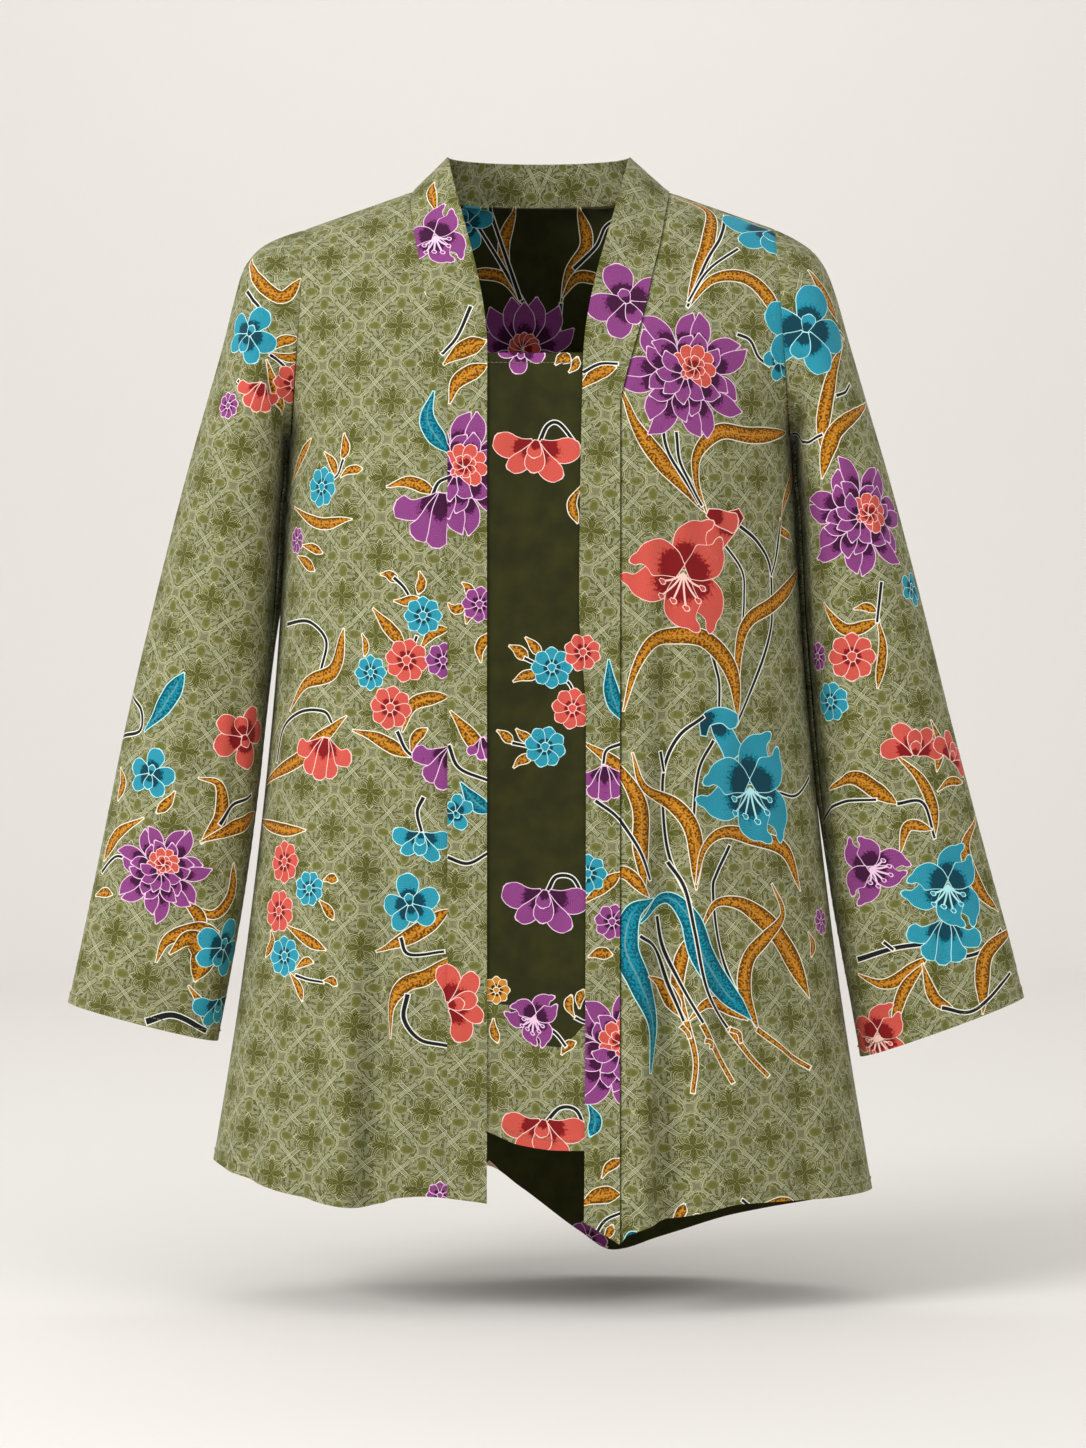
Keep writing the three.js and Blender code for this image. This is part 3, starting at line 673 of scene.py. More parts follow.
def flowers_of(rows, place=None):
    """Flowers, in mm on the flat cut, or in picture points where place is given."""
    flowers = []
    for row in rows.splitlines()[1:]:
        kind, *numbers, dye = row.split()
        x, y, size, turn = map(float, numbers)
        if place:
            a = np.radians(turn)
            centre = place((x, y))
            run = place((x + size * np.sin(a) / 2, y - size * np.cos(a) / 2)) - centre
            x, y = centre.round()
            size, turn = round(size * POINT_ON_CLOTH), round(np.degrees(np.arctan2(run[0], -run[1])))
        flowers.append((kind, x, y, size, turn, dye))
    return flowers


def creases_of(rows, place=None):
    """Creases, each from one place to another, with width, depth and sideways bend in mm."""
    creases = []
    for row in rows.splitlines()[1:]:
        numbers = list(map(float, row.split()))
        if place:
            ends = (place(numbers[0:2]).round(), place(numbers[2:4]).round())
            numbers[:4] = np.concatenate(ends)
        creases.append(numbers)
    return creases


VINE_SWELL = 1.3
STROKE_WAX = 0.75


def draw(strokes, flowers):
    """A piece's drawing: leaves and stems first, the flowers over them."""
    drawing = []
    for shape, dye, width, points in strokes:
        kind = STEM if dye == "vine" else PETAL if shape == "bell" else LEAF
        wide = width * (VINE_SWELL if dye == "vine" else 1)
        blade(drawing, points, wide, shape, dye, kind, STROKE_WAX, 0.5)
    whole = {"chrysanthemum": chrysanthemum, "lily": lily, "daisy": daisy}
    for kind, s, t, size, turn, dye in flowers:
        if kind in FLOWERS:
            fan(drawing, s, t, size, turn, dye, kind)
        else:
            whole[kind](drawing, s, t, size, turn, dye)
    return drawing


def add(tree, kind, *inputs, **settings):
    """Adds a node with its settings and links or fills its inputs; gives back its first output."""
    made = tree.nodes.new(kind)
    for key, value in settings.items():
        setattr(made, key, value)
    for socket, value in zip(made.inputs, inputs):
        if isinstance(value, bpy.types.NodeSocket):
            tree.links.new(value, socket)
        elif value is not None:
            socket.default_value = value
    return made.outputs[0]


def batik_cotton(name):
    """The printed cotton: strokes from the drawing, and the ground drawn between them."""
    material = bpy.data.materials.new(name)
    material.use_nodes = True
    tree = material.node_tree
    surface = tree.nodes["Principled BSDF"]

    def calc(operation, *values):
        return add(tree, "ShaderNodeMath", *values, operation=operation)

    def step(value, start, end):
        """0 below start, 1 above end, or the other way round where start is the larger."""
        if start > end:
            return calc("SUBTRACT", 1.0, step(value, end, start))
        return add(tree, "ShaderNodeMapRange", value, start, end, interpolation_type="SMOOTHSTEP")

    def line(value, at, width=0.32):
        """1 within a width of a value, soft at its sides."""
        return step(calc("ABSOLUTE", calc("SUBTRACT", value, at)), width, width * 0.45)

    def both(first, *rest):
        for value in rest:
            first = calc("MULTIPLY", first, value)
        return first

    def most(first, *rest):
        for value in rest:
            first = calc("MAXIMUM", first, value)
        return first

    def blend(share, first, second, mode="MIX"):
        made = tree.nodes.new("ShaderNodeMix")
        made.data_type, made.blend_type = "RGBA", mode
        for socket, value in (
            (made.inputs[0], share), (made.inputs[6], first), (made.inputs[7], second)
        ):
            if isinstance(value, bpy.types.NodeSocket):
                tree.links.new(value, socket)
            else:
                socket.default_value = value
        return made.outputs[2]

    def attribute(title):
        add(tree, "ShaderNodeAttribute", attribute_name=title)
        return tree.nodes[-1]

    def noise(vector, scale, detail=2.0):
        return add(tree, "ShaderNodeTexNoise", vector, None, scale, detail)

    flat = add(
        tree,
        "ShaderNodeVectorMath",
        add(tree, "ShaderNodeUVMap", uv_map="cloth"),
        (1000, 1000, 0),
        operation="MULTIPLY",
    )
    shake = tree.nodes.new("ShaderNodeTexNoise")
    tree.links.new(flat, shake.inputs["Vector"])
    shake.inputs["Scale"].default_value = 0.16
    shaken = add(
        tree, "ShaderNodeVectorMath", shake.outputs["Color"], (0.5, 0.5, 0.5), operation="SUBTRACT"
    )
    shaken = add(tree, "ShaderNodeVectorMath", shaken, (1.7, 1.7, 0), flat, operation="MULTIPLY_ADD")
    split = tree.nodes.new("ShaderNodeSeparateXYZ")
    tree.links.new(shaken, split.inputs[0])

    # Ground lattice: flowers 60 mm apart across and 57.4 mm down, with one more between each
    # four, stippled knots between the flowers and slanting bars between the knots. It is folded
    # so that a knot lies at a = b = 0 and a flower at a = b = 20.7 mm.
    across, up = calc("DIVIDE", split.outputs[0], 30.0), calc("DIVIDE", split.outputs[1], 28.7)
    a, b = (
        calc("MULTIPLY_ADD", calc("PINGPONG", calc(operation, across, up), 1.0), -20.7, 20.7)
        for operation in ("ADD", "SUBTRACT")
    )
    near, far = calc("MINIMUM", a, b), calc("MAXIMUM", a, b)
    bar_end = step(far, 12.6, 13.2)
    cross = calc("SUBTRACT", 20.7, far)
    bar = most(both(step(near, 1.35, 1.2), bar_end), both(step(cross, 1.35, 1.2), step(near, 8.2, 7.9)))
    bar_pale = both(most(line(near, 1.25, 0.3), line(near, 0.45, 0.22)), bar_end)
    bar_pale = most(bar_pale, both(line(cross, 1.25, 0.3), step(near, 8.6, 8.2)))
    bar_dark = both(most(line(near, 1.75, 0.35), line(near, 0.8, 0.22)), bar_end)
    bar_dark = most(bar_dark, both(line(cross, 1.75, 0.3), step(near, 8.6, 8.2)))

    # The flower's four short petals point along the cloth, towards the knots.
    to_knot = calc("MULTIPLY", calc("SUBTRACT", 41.4, calc("ADD", a, b)), 0.7071)
    off_axis = calc("MULTIPLY", calc("ABSOLUTE", calc("SUBTRACT", a, b)), 0.7071)
    wide = calc("SINE", calc("MULTIPLY", calc("MINIMUM", calc("DIVIDE", to_knot, 11.0), 1.0), math.pi))
    short = calc("SUBTRACT", off_axis, calc("MULTIPLY", wide, 2.3))
    short_petals = step(short, 0.1, -0.1)
    tip = calc("ADD", to_knot, calc("MULTIPLY", off_axis, 1.25))
    chevrons = both(line(tip, 13.2, 0.55), step(off_axis, 2.6, 2.3))
    # Its four broad petals point at the bars, with lines inside that follow their edges.
    reach, aside_petal = calc("SUBTRACT", 20.7, near), calc("SUBTRACT", 20.7, far)
    wide = calc("SINE", calc("MULTIPLY", calc("MINIMUM", calc("DIVIDE", reach, 14.5), 1.0), math.pi))
    broad = calc("SUBTRACT", aside_petal, calc("MULTIPLY", wide, 5.6))
    broad_petals = both(step(broad, 0.1, -0.1), calc("SUBTRACT", 1.0, short_petals))
    broad_pale = both(
        most(line(broad, -0.35, 0.3), line(broad, -2.2, 0.25), line(broad, -3.5, 0.22)), broad_petals
    )
    broad_dark = both(
        most(line(broad, 0.2, 0.35), line(broad, -1.6, 0.25), line(broad, -2.9, 0.22)),
        step(reach, 14.6, 14.0),
    )
    # Olive seeds lie between the flower and each knot, in a rounded husk.
    seed_a, seed_b = calc("SUBTRACT", to_knot, 18.2), calc("MULTIPLY", off_axis, 1.45)
    seed_far = calc(
        "SQRT", calc("ADD", calc("MULTIPLY", seed_a, seed_a), calc("MULTIPLY", seed_b, seed_b))
    )
    seeds, husks = step(seed_far, 3.4, 2.6), step(seed_far, 5.2, 4.9)
    husk_lines = line(seed_far, 5.0, 0.3)
    # Knots are stippled, shut in by arcs round the seeds.
    arc = calc(
        "SUBTRACT",
        calc(
            "SQRT",
            calc(
                "ADD",
                calc("POWER", calc("SUBTRACT", a, 7.8), 2.0),
                calc("POWER", calc("SUBTRACT", b, 7.8), 2.0),
            ),
        ),
        7.0,
    )
    in_knot = both(step(arc, 0.1, 0.4), step(far, 11.6, 11.2))
    stipple = both(calc("SINE", calc("MULTIPLY", a, 8.2)), calc("SINE", calc("MULTIPLY", b, 8.2)))
    stipple = both(step(stipple, 0.1, 0.35), in_knot)
    arcs = both(most(line(arc, 0.0, 0.3), both(line(arc, 1.0, 0.25), 0.7)), step(far, 12.4, 11.8))
    # Pale sticks fan out from the middle of each bar, in front of fine scratched lines.
    from_bar = calc("SUBTRACT", 20.7, far)
    fan_far = calc(
        "SQRT", calc("ADD", calc("MULTIPLY", near, near), calc("MULTIPLY", from_bar, from_bar))
    )
    fan_turn = calc("ARCTAN2", from_bar, near)
    ray = calc("ABSOLUTE", calc("SUBTRACT", calc("FRACT", calc("MULTIPLY", fan_turn, 2.2)), 0.5))
    free = both(calc("SUBTRACT", 1.0, broad_petals), calc("SUBTRACT", 1.0, husks), step(near, 2.2, 2.6))
    sticks = both(step(ray, 0.3, 0.24), step(fan_far, 12.5, 12.0), step(arc, 2.2, 1.6), free)
    stick_dark = both(line(ray, 0.36, 0.07), step(fan_far, 12.5, 12.0), step(arc, 2.2, 1.6), free)
    wander = calc("MULTIPLY", noise(flat, 0.3, 3.0), 26.0)
    scratch = calc("SINE", calc("ADD", wander, calc("MULTIPLY", reach, 2.0)))

    pale = most(calc("MULTIPLY", broad_pale, 0.75), both(husk_lines, 0.6), chevrons, arcs, bar_pale)
    dark = most(broad_dark, bar_dark, both(stick_dark, 0.7), both(stipple, 0.75))
    dark = both(dark, calc("SUBTRACT", 1.0, pale))
    tone = step(noise(flat, 0.05, 3.0), 0.3, 0.7)
    sage = blend(tone, colour("7c7d42"), colour("989760"))
    sage = blend(both(step(scratch, 0.4, 0.9), 0.65), sage, colour("cac898"))
    sage = blend(both(step(scratch, -0.4, -0.9), 0.6), sage, colour("414418"))
    sage = blend(both(broad_petals, step(reach, 15.0, 4.0), 0.6), sage, colour("6f7028"))
    sage = blend(both(sticks, 0.75), sage, colour("acb08d"))
    sage = blend(both(husks, 0.7), sage, colour("86874a"))
    sage = blend(both(in_knot, 0.6), sage, colour("a9aa84"))
    sage = blend(both(short_petals, 0.7), sage, colour("6c6b16"))
    sage = blend(both(seeds, 0.6), sage, colour("6d6f26"))
    heart = calc(
        "SQRT", calc("ADD", calc("MULTIPLY", to_knot, to_knot), calc("MULTIPLY", off_axis, off_axis))
    )
    sage = blend(both(step(heart, 9.0, 1.0), 0.6), sage, colour("5d5f17"))
    sage = blend(both(bar, 0.6), sage, colour("a9ae88"))
    sage = blend(both(dark, 0.9), sage, colour("3a3d14"))
    sage = blend(pale, sage, colour("e0dfb6"))
    crackle = step(noise(flat, 0.05, 6.0), 0.3, 0.7)
    olive = blend(crackle, colour("2d2e08"), colour("3b3b0e"))

    # Strokes: dark at a petal's root with a ragged edge, then rows of fine dots; leaves speckled.
    ink, shade, place = attribute("ink"), attribute("shade"), attribute("place")
    kind = calc("MULTIPLY", ink.outputs["Alpha"], 10.0)
    spread = tree.nodes.new("ShaderNodeSeparateColor")
    tree.links.new(place.outputs["Color"], spread.inputs[0])
    share, side, length = spread.outputs[0], spread.outputs[1], spread.outputs[2]
    along = calc("MULTIPLY", share, length)
    aside = calc("MULTIPLY", side, place.outputs["Alpha"])
    ragged = calc("MULTIPLY_ADD", calc("SUBTRACT", noise(flat, 0.5), 0.5), 0.3, share)
    ragged = calc("MULTIPLY_ADD", calc("MULTIPLY", side, side), 0.16, ragged)
    ragged = calc("SUBTRACT", ragged, shade.outputs["Alpha"])
    root = step(ragged, 0.03, -0.05)
    dots = both(
        step(calc("SINE", calc("MULTIPLY", along, 6.4)), 0.1, 0.5),
        step(calc("SINE", calc("MULTIPLY", aside, 7.4)), 0.0, 0.5),
        step(ragged, 0.0, 0.06),
    )
    rays = both(
        step(calc("SINE", calc("MULTIPLY", side, 19.0)), 0.4, 0.8),
        step(ragged, -0.2, 0.0),
        step(ragged, 0.16, 0.0),
    )
    petal_colour = blend(root, ink.outputs["Color"], shade.outputs["Color"])
    petal_colour = blend(calc("MULTIPLY", rays, 0.35), petal_colour, shade.outputs["Color"])
    petal_colour = blend(calc("MULTIPLY", dots, 0.2), petal_colour, colour("f6e6ee"))
    speckle = calc("ADD", noise(flat, 0.55, 3.0), calc("MULTIPLY", calc("ABSOLUTE", side), 0.16))
    speckle = most(step(speckle, 0.55, 0.61), step(calc("ADD", side, noise(flat, 0.4)), 1.2, 1.35))
    hatch = both(
        step(calc("SINE", calc("MULTIPLY", calc("ADD", along, calc("ABSOLUTE", aside)), 8.5)), 0.5, 0.9),
        0.4,
    )
    rib = both(step(calc("ABSOLUTE", side), 0.1, 0.05), step(share, 0.1, 0.2), step(share, 0.9, 0.8))
    leaf_colour = blend(
        most(calc("MULTIPLY", speckle, 0.85), hatch), ink.outputs["Color"], shade.outputs["Color"]
    )
    leaf_colour = blend(calc("MULTIPLY", rib, 0.2), leaf_colour, colour("f2d9a0"))

    def is_kind(number):
        return calc("COMPARE", kind, float(number), 0.4)

    shown = blend(is_kind(SAGE_GROUND), olive, sage)
    shown = blend(is_kind(PETAL), shown, petal_colour)
    shown = blend(is_kind(LEAF), shown, leaf_colour)
    dye_depth = calc("MULTIPLY_ADD", noise(flat, 0.03, 4.0), 0.24, 0.58)
    shown = blend(1.0, shown, dye_depth, "MULTIPLY")
    shown = blend(most(is_kind(WAX), is_kind(STEM)), shown, ink.outputs["Color"])
    tree.links.new(shown, surface.inputs["Base Color"])
    surface.inputs["Roughness"].default_value = 0.82
    surface.inputs["Specular IOR Level"].default_value = 0.15
    surface.inputs["Sheen Weight"].default_value = 0.06
    surface.inputs["Sheen Roughness"].default_value = 0.6

    # Weave of about 28 threads to the centimetre, and the small soft creases of worn cotton.
    split_flat = tree.nodes.new("ShaderNodeSeparateXYZ")
    tree.links.new(flat, split_flat.inputs[0])
    threads = (calc("SINE", calc("MULTIPLY", split_flat.outputs[k], 17.6)) for k in (0, 1))
    weave = calc("MULTIPLY", both(*threads), 0.03)
    crumple = calc("MULTIPLY", noise(flat, 0.06, 3.0), 0.9)
    bump = tree.nodes.new("ShaderNodeBump")
    bump.inputs["Strength"].default_value = 0.55
    bump.inputs["Distance"].default_value = 0.001
    tree.links.new(calc("ADD", weave, crumple), bump.inputs["Height"])
    tree.links.new(bump.outputs[0], surface.inputs["Normal"])
    return material


sage_batik = batik_cotton("Batik cotton, sage ground")
olive_batik = batik_cotton("Batik cotton, dark olive ground")


# THE BACK. One piece from the neckline to the hem, cut from the dark-ground cloth and sewn to the
# fronts at the shoulders and sides. Lengths are in mm: +X to the right as seen from the front,
# -Y to the front, +Z up, zero midway between the neck ends of the shoulders.
ARMHOLE_ROWS, SIDE_ROWS = 12, 20
NECK_HALF, NECK_HOLLOW, NECK_DROP = 98, 56, 6
SHOULDER_X, SHOULDER_Z = 179, -29
UNDERARM_X, UNDERARM_Z = 190, -187
ARMHOLE_HOLLOW, ARMHOLE_DEPTH = 4, 60
LEVEL_WITH_UNDERARM = -206
BACK_FLAT = 62
HEM_CORNER, HEM_LEVEL = 252, -760
# The side seam's distance from the middle, the body's depth, the turn of its rows and the hems.
SIDE = table("z half_width", [(-187, 190), (-354, 200), (-470, 211), (-607, 228), (-757, 252)])
DEPTH = table(
    "z front back",
    [
        (0, 0, 0),
        (-3, -14, 14),
        (-8, -25, 25),
        (-22, -42, 42),
        (-50, -62, 62),
        (-90, -82, 78),
        (-135, -97, 89),
        (-185, -107, 97),
        (-240, -113, 101),
        (-320, -114, 101),
        (-420, -112, 100),
        (-560, -112, 103),
        (-700, -116, 108),
        (-830, -119, 111),
    ],
)
TURN = table("share degrees", [(0, 20), (0.2, 28), (0.5, 42), (0.8, 62), (1, 90)])
HEM_LEFT = table(
    "x z",
    [
        (-249, -735),
        (-226, -742),
        (-193, -751),
        (-160, -757),
        (-132, -760),
        (-117, -756),
        (-103, -751),
        (-88, -750),
        (-39, -755),
    ],
)
HEM_RIGHT = table(
    "x z", [(31, -768), (56, -787), (62, -779), (118, -763), (150, -757), (251, -757)]
)
HEM_BACK = table(
    "x z",
    [
        (-249, -735),
        (-180, -745),
        (-100, -750),
        (-42, -754),
        (-16, -771),
        (31, -806),
        (56, -820),
        (94, -810),
        (157, -789),
        (217, -774),
        (251, -757),
    ],
)
# The large hanging folds, by side and face of the body, -1 being the left and the front.
FOLDS = """side face top_x hem_x top_z width depth
-1 -1 -128 -120 -420 15 9
-1 -1 -180 -190 -520 17 5
1 -1 92 104 -330 17 6
1 -1 160 176 -480 19 6
1 1 60 66 -420 20 8
1 1 150 165 -480 19 6
-1 1 -70 -78 -400 20 8
-1 1 -160 -176 -470 19 6"""


def fold_depth(face, x, z, hem_z):
    """Depth of the large hanging folds at a place on the body, positive towards the inside."""
    depth = 0
    for line in FOLDS.splitlines()[1:]:
        _, fold_face, top_x, hem_x, top_z, width, deepest = map(float, line.split())
        if fold_face == face:
            down = np.clip((top_z - z) / (top_z - hem_z), 0, 1)
            across = (x - mix(top_x, hem_x, down)) / width
            trough = np.exp(-(across**2)) - 0.35 * np.exp(-((across / 2) ** 2))
            depth = depth + deepest * down**1.3 * trough
    return depth


def outer_edge(sign, face, row):
    """The armhole, then the side seam."""
    angle = np.pi * np.minimum(row, ARMHOLE_ROWS) / ARMHOLE_ROWS
    down = (1 - np.cos(angle)) / 2
    arm_x = mix(SHOULDER_X, UNDERARM_X, down) - ARMHOLE_HOLLOW * np.sin(angle)
    hem = HEM_LEFT["z"][0] if sign < 0 else HEM_RIGHT["z"][-1]
    z = np.where(
        row <= ARMHOLE_ROWS,
        mix(SHOULDER_Z, UNDERARM_Z, down),
        mix(UNDERARM_Z, hem, (row - ARMHOLE_ROWS) / SIDE_ROWS),
    )
    x = np.where(row <= ARMHOLE_ROWS, arm_x, read(SIDE, "half_width", z))
    y = np.where(row <= ARMHOLE_ROWS, face * ARMHOLE_DEPTH * np.sin(angle), 0)
    return sign * x, y, z, sign * HEM_CORNER, hem


def inner_height(row, hem):
    """Height of each row at the end away from the armhole and side seam."""
    arm = LEVEL_WITH_UNDERARM * (np.minimum(row, ARMHOLE_ROWS) / ARMHOLE_ROWS) ** 1.4
    below = mix(LEVEL_WITH_UNDERARM, hem, (row - ARMHOLE_ROWS) / SIDE_ROWS)
    return np.where(row <= ARMHOLE_ROWS, arm, below)


def body_rows(inner, outer, face, row, hem_table, share):
    """Rows from the inner end to the outer edge, turning towards the side."""
    turn = np.radians(read(TURN, "degrees", np.minimum(row / ARMHOLE_ROWS, 1)))
    below = np.maximum(row - ARMHOLE_ROWS, 0) / SIDE_ROWS
    along = np.sin(turn * share) / np.sin(turn)
    back = (1 - np.cos(turn * share)) / (1 - np.cos(turn))
    x = mix(inner[0], outer[0], along)
    hem = read(hem_table, "z", mix(inner[3], outer[3], along))
    z = mix(inner[2], outer[2], along) + below**3 * (hem - mix(inner[4], outer[4], along))
    folded = face * fold_depth(face, x, z, hem) * (1 - back**3)
    return np.stack([x, mix(inner[1], outer[1], back) - folded, z], -1)


def back_form():
    """The back's grid of places: the two halves, and a middle that fills in under the neck."""
    row = np.linspace(0, ARMHOLE_ROWS + SIDE_ROWS, 225)[:, None]
    halves = []
    for sign in (-1, 1):
        hem = float(read(HEM_BACK, "z", sign * BACK_FLAT))
        z = inner_height(row, hem)
        x = sign * mix(NECK_HALF, BACK_FLAT, np.minimum(row / ARMHOLE_ROWS, 1))
        inner = (x, read(DEPTH, "back", z), z, sign * BACK_FLAT, hem)
        share = np.linspace(0, 1, 51)[None, :]
        halves.append(body_rows(inner, outer_edge(sign, 1, row), 1, row, HEM_BACK, share))
    left, right = halves[0][:, :1], halves[1][:, :1]
    settle, nape = np.minimum(row / 4, 1), np.minimum(row / 9, 1)
    below = np.maximum(row - ARMHOLE_ROWS, 0) / SIDE_ROWS
    even = np.linspace(0, 1, 42)[None, 1:-1]
    share = mix((1 - np.cos(np.pi * even)) / 2, even, settle)
    x = mix(left[..., 0], right[..., 0], share)
    rise = (4 * share * (1 - share)) ** mix(0.5, 2, settle)

    def across(value):
        return value(x) - mix(value(left[..., 0]), value(right[..., 0]), share)

    z = mix(left[..., 2], right[..., 2], share) - NECK_DROP * (1 - settle) * rise
    z = z + below**3 * across(lambda at: read(HEM_BACK, "z", at))
    hollow = NECK_HOLLOW * (1 - nape**0.55) + 3 * settle
    y = mix(left[..., 1], right[..., 1], share) + hollow * rise
    y = y - across(lambda at: fold_depth(1, at, z, HEM_LEVEL))
    middle = np.stack([x, y, z], -1)
    return np.concatenate([halves[0][:, ::-1], middle, halves[1]], 1)


MID_BACK = 70
form = back_form()
flat = flatten(form, first_guess(form, 84, MID_BACK), 41, 29, ((60, MID_BACK), (224, MID_BACK)))
BACK_STROKES = """shape dye width x y ...
leaf ochre 12 523 303 508 276 503 244 515 208
leaf ochre 13 561 303 569 272 587 244 579 206
leaf ochre 12 520 302 501 277 464 273
leaf ochre 12 562 297 579 276 608 282
stem vine 3 526 306 499 260 474 220
stem vine 3 520 300 500 240 489 207
stem vine 3 574 268 596 246 607 226 625 214
stem vine 3 528 330 524 306
stem vine 3 559 330 561 303
stem blush 5 488 1164 520 1191 556 1223 606 1248"""
BACK_FLOWERS = """kind x y size turn dye
lotus 524 349 56 0 plum
orchid 466 222 32 160 teal
daisy 588 1240 22 0 plum"""
HIDDEN_BACK_STROKES = """shape dye width s t ...
leaf ochre 12 10 560 -30 470 -60 380 -62 300
leaf ochre 13 20 560 60 500 90 430 96 372
leaf ochre 14 -8 540 -80 480 -130 430 -146 368
leaf ochre 12 30 540 90 500 150 480 196 446
leaf ochre 11 -60 300 -100 240 -140 220 -190 226
leaf ochre 12 96 300 130 260 140 230 150 214
stem vine 2.2 12 570 -20 450 -50 350 -66 290
stem vine 2.2 18 570 50 450 80 400 92 360
stem vine 2 -2 540 -60 450 -120 400 -146 350
stem vine 2 -66 210 -40 180 -20 150 -28 122
stem vine 2 -80 206 -110 180 -118 164
stem vine 2 96 290 70 240 50 210 42 186
stem vine 2 120 280 150 250 152 222
stem vine 2 130 178 128 140 120 104
leaf ochre 10 46 130 60 110 84 96
leaf ochre 10 -20 80 -50 60 -90 62
leaf teal 14 -30 470 -70 440 -110 470 -124 520
leaf teal 13 60 470 100 440 130 470 140 530
stem vine 2 170 460 190 380 204 352
stem vine 2 -170 440 -196 420 -206 406
leaf ochre 9 -200 380 -190 350 -200 320
leaf ochre 9 200 300 214 270 206 240
leaf ochre 9 -160 560 -130 550 -110 560
leaf ochre 9 140 580 170 590 190 600
stem vine 2 -32 546 -10 560 14 562
leaf ochre 8 40 530 30 540 20 556"""
HIDDEN_BACK_FLOWERS = """kind s t size turn dye
chrysanthemum -70 250 60 20 plum
chrysanthemum 96 330 52 -40 plum
lily 40 170 52 -20 coral
lily -150 330 46 40 teal
lily 150 200 40 60 coral
orchid -120 150 32 -30 teal
orchid 10 420 30 10 coral
pea -200 230 34 160 coral
pea 200 420 34 190 teal
daisy -30 110 17 0 teal
daisy 0 90 15 20 coral
daisy 190 310 19 10 teal
daisy 216 346 16 0 coral
daisy -210 400 18 15 plum
daisy -232 436 15 0 teal
daisy -110 80 14 10 coral
bell 120 90 36 150 teal
bell -30 520 32 196 plum
daisy 130 560 16 0 coral
daisy -150 540 18 10 coral
daisy -176 570 14 0 teal
daisy 210 600 15 20 plum"""
HIDDEN_BACK_CREASES = """from_s from_t to_s to_t width depth bend
-160 -70 -70 110 14 2.6 12
150 -60 84 130 12 2.2 -9
-24 40 -12 250 16 1.5 5
46 150 66 420 15 1.7 -6
-186 150 -196 380 12 1.6 5
206 190 216 400 13 1.4 -4
-90 330 -84 560 14 1.3 4
4 420 -6 620 12 1.1 -3"""
place = onto_cloth(form, flat)
drawing = draw(
    strokes_of(BACK_STROKES, place) + strokes_of(HIDDEN_BACK_STROKES),
    flowers_of(BACK_FLOWERS, place) + flowers_of(HIDDEN_BACK_FLOWERS),
)
piece, threads, size, area = sew(
    "back",
    form,
    flat,
    seen_from=-1,
    drawing=drawing,
    seams=(("inner", SEAM_GROOVE), ("outer", SEAM_GROOVE), ("top", SEAM_GROOVE)),
    hems=("hem",),
    creases=creases_of(HIDDEN_BACK_CREASES),
    ground=DARK_GROUND,
)
piece.data.materials.append(olive_batik)
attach(piece, "root")
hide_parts("back")
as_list(threads)


# THE FRONTS. Left and right fronts of sage-ground cloth, each from the shoulder to the hem and
# sewn to the back at the shoulder and side. Their front edges are seamed to the bands, and a
# soft fold falls down each from the bust to the hem.

# Each band's sewn and free edges by height, and how the free edge rises and comes forward.
SEAM_LEFT = table(
    "z x",
    [
        (0, -98),
        (-11, -98),
        (-55, -91),
        (-70, -88.5),
        (-110, -78.5),
        (-151, -68.5),
        (-180, -68),
        (-820, -68),
    ],
)
FREE_LEFT = table("z x", [(26, -70.5), (-132, -39), (-820, -39)])
SEAM_RIGHT = table(
    "z x",
    [(0, 98), (-11, 95.5), (-44, 89.5), (-73, 82.5), (-92, 78.5), (-153, 62), (-170, 58.5), (-820, 58)],
)
FREE_RIGHT = table("z x", [(26, 68), (-136, 31.5), (-314, 28.5), (-390, 33.5), (-820, 31.5)])
RISE = table(
    "z rise forward",
    [
        (0, 26, 5),
        (-11, 24, 6),
        (-30, 17, 6),
        (-55, 11, 5),
        (-90, 8, 3),
        (-151, 6, 1.5),
        (-206, 0, 1),
        (-820, 0, 1),
    ],
)


def front_form(side):
    """A front's grid of places, from its band seam to its armhole and side seam."""
    sign = -1 if side == "left" else 1
    seam, hem_table = (SEAM_LEFT, HEM_LEFT) if side == "left" else (SEAM_RIGHT, HEM_RIGHT)
    row = np.linspace(0, ARMHOLE_ROWS + SIDE_ROWS, 225)[:, None]
    last = float(read(seam, "x", HEM_LEVEL))
    hem = float(read(hem_table, "z", last))
    z = inner_height(row, hem)
    inner = (read(seam, "x", z), read(DEPTH, "front", z), z, last, hem)
    share = np.linspace(0, 1, 61)[None, :]
    return body_rows(inner, outer_edge(sign, -1, row), -1, row, hem_table, share)


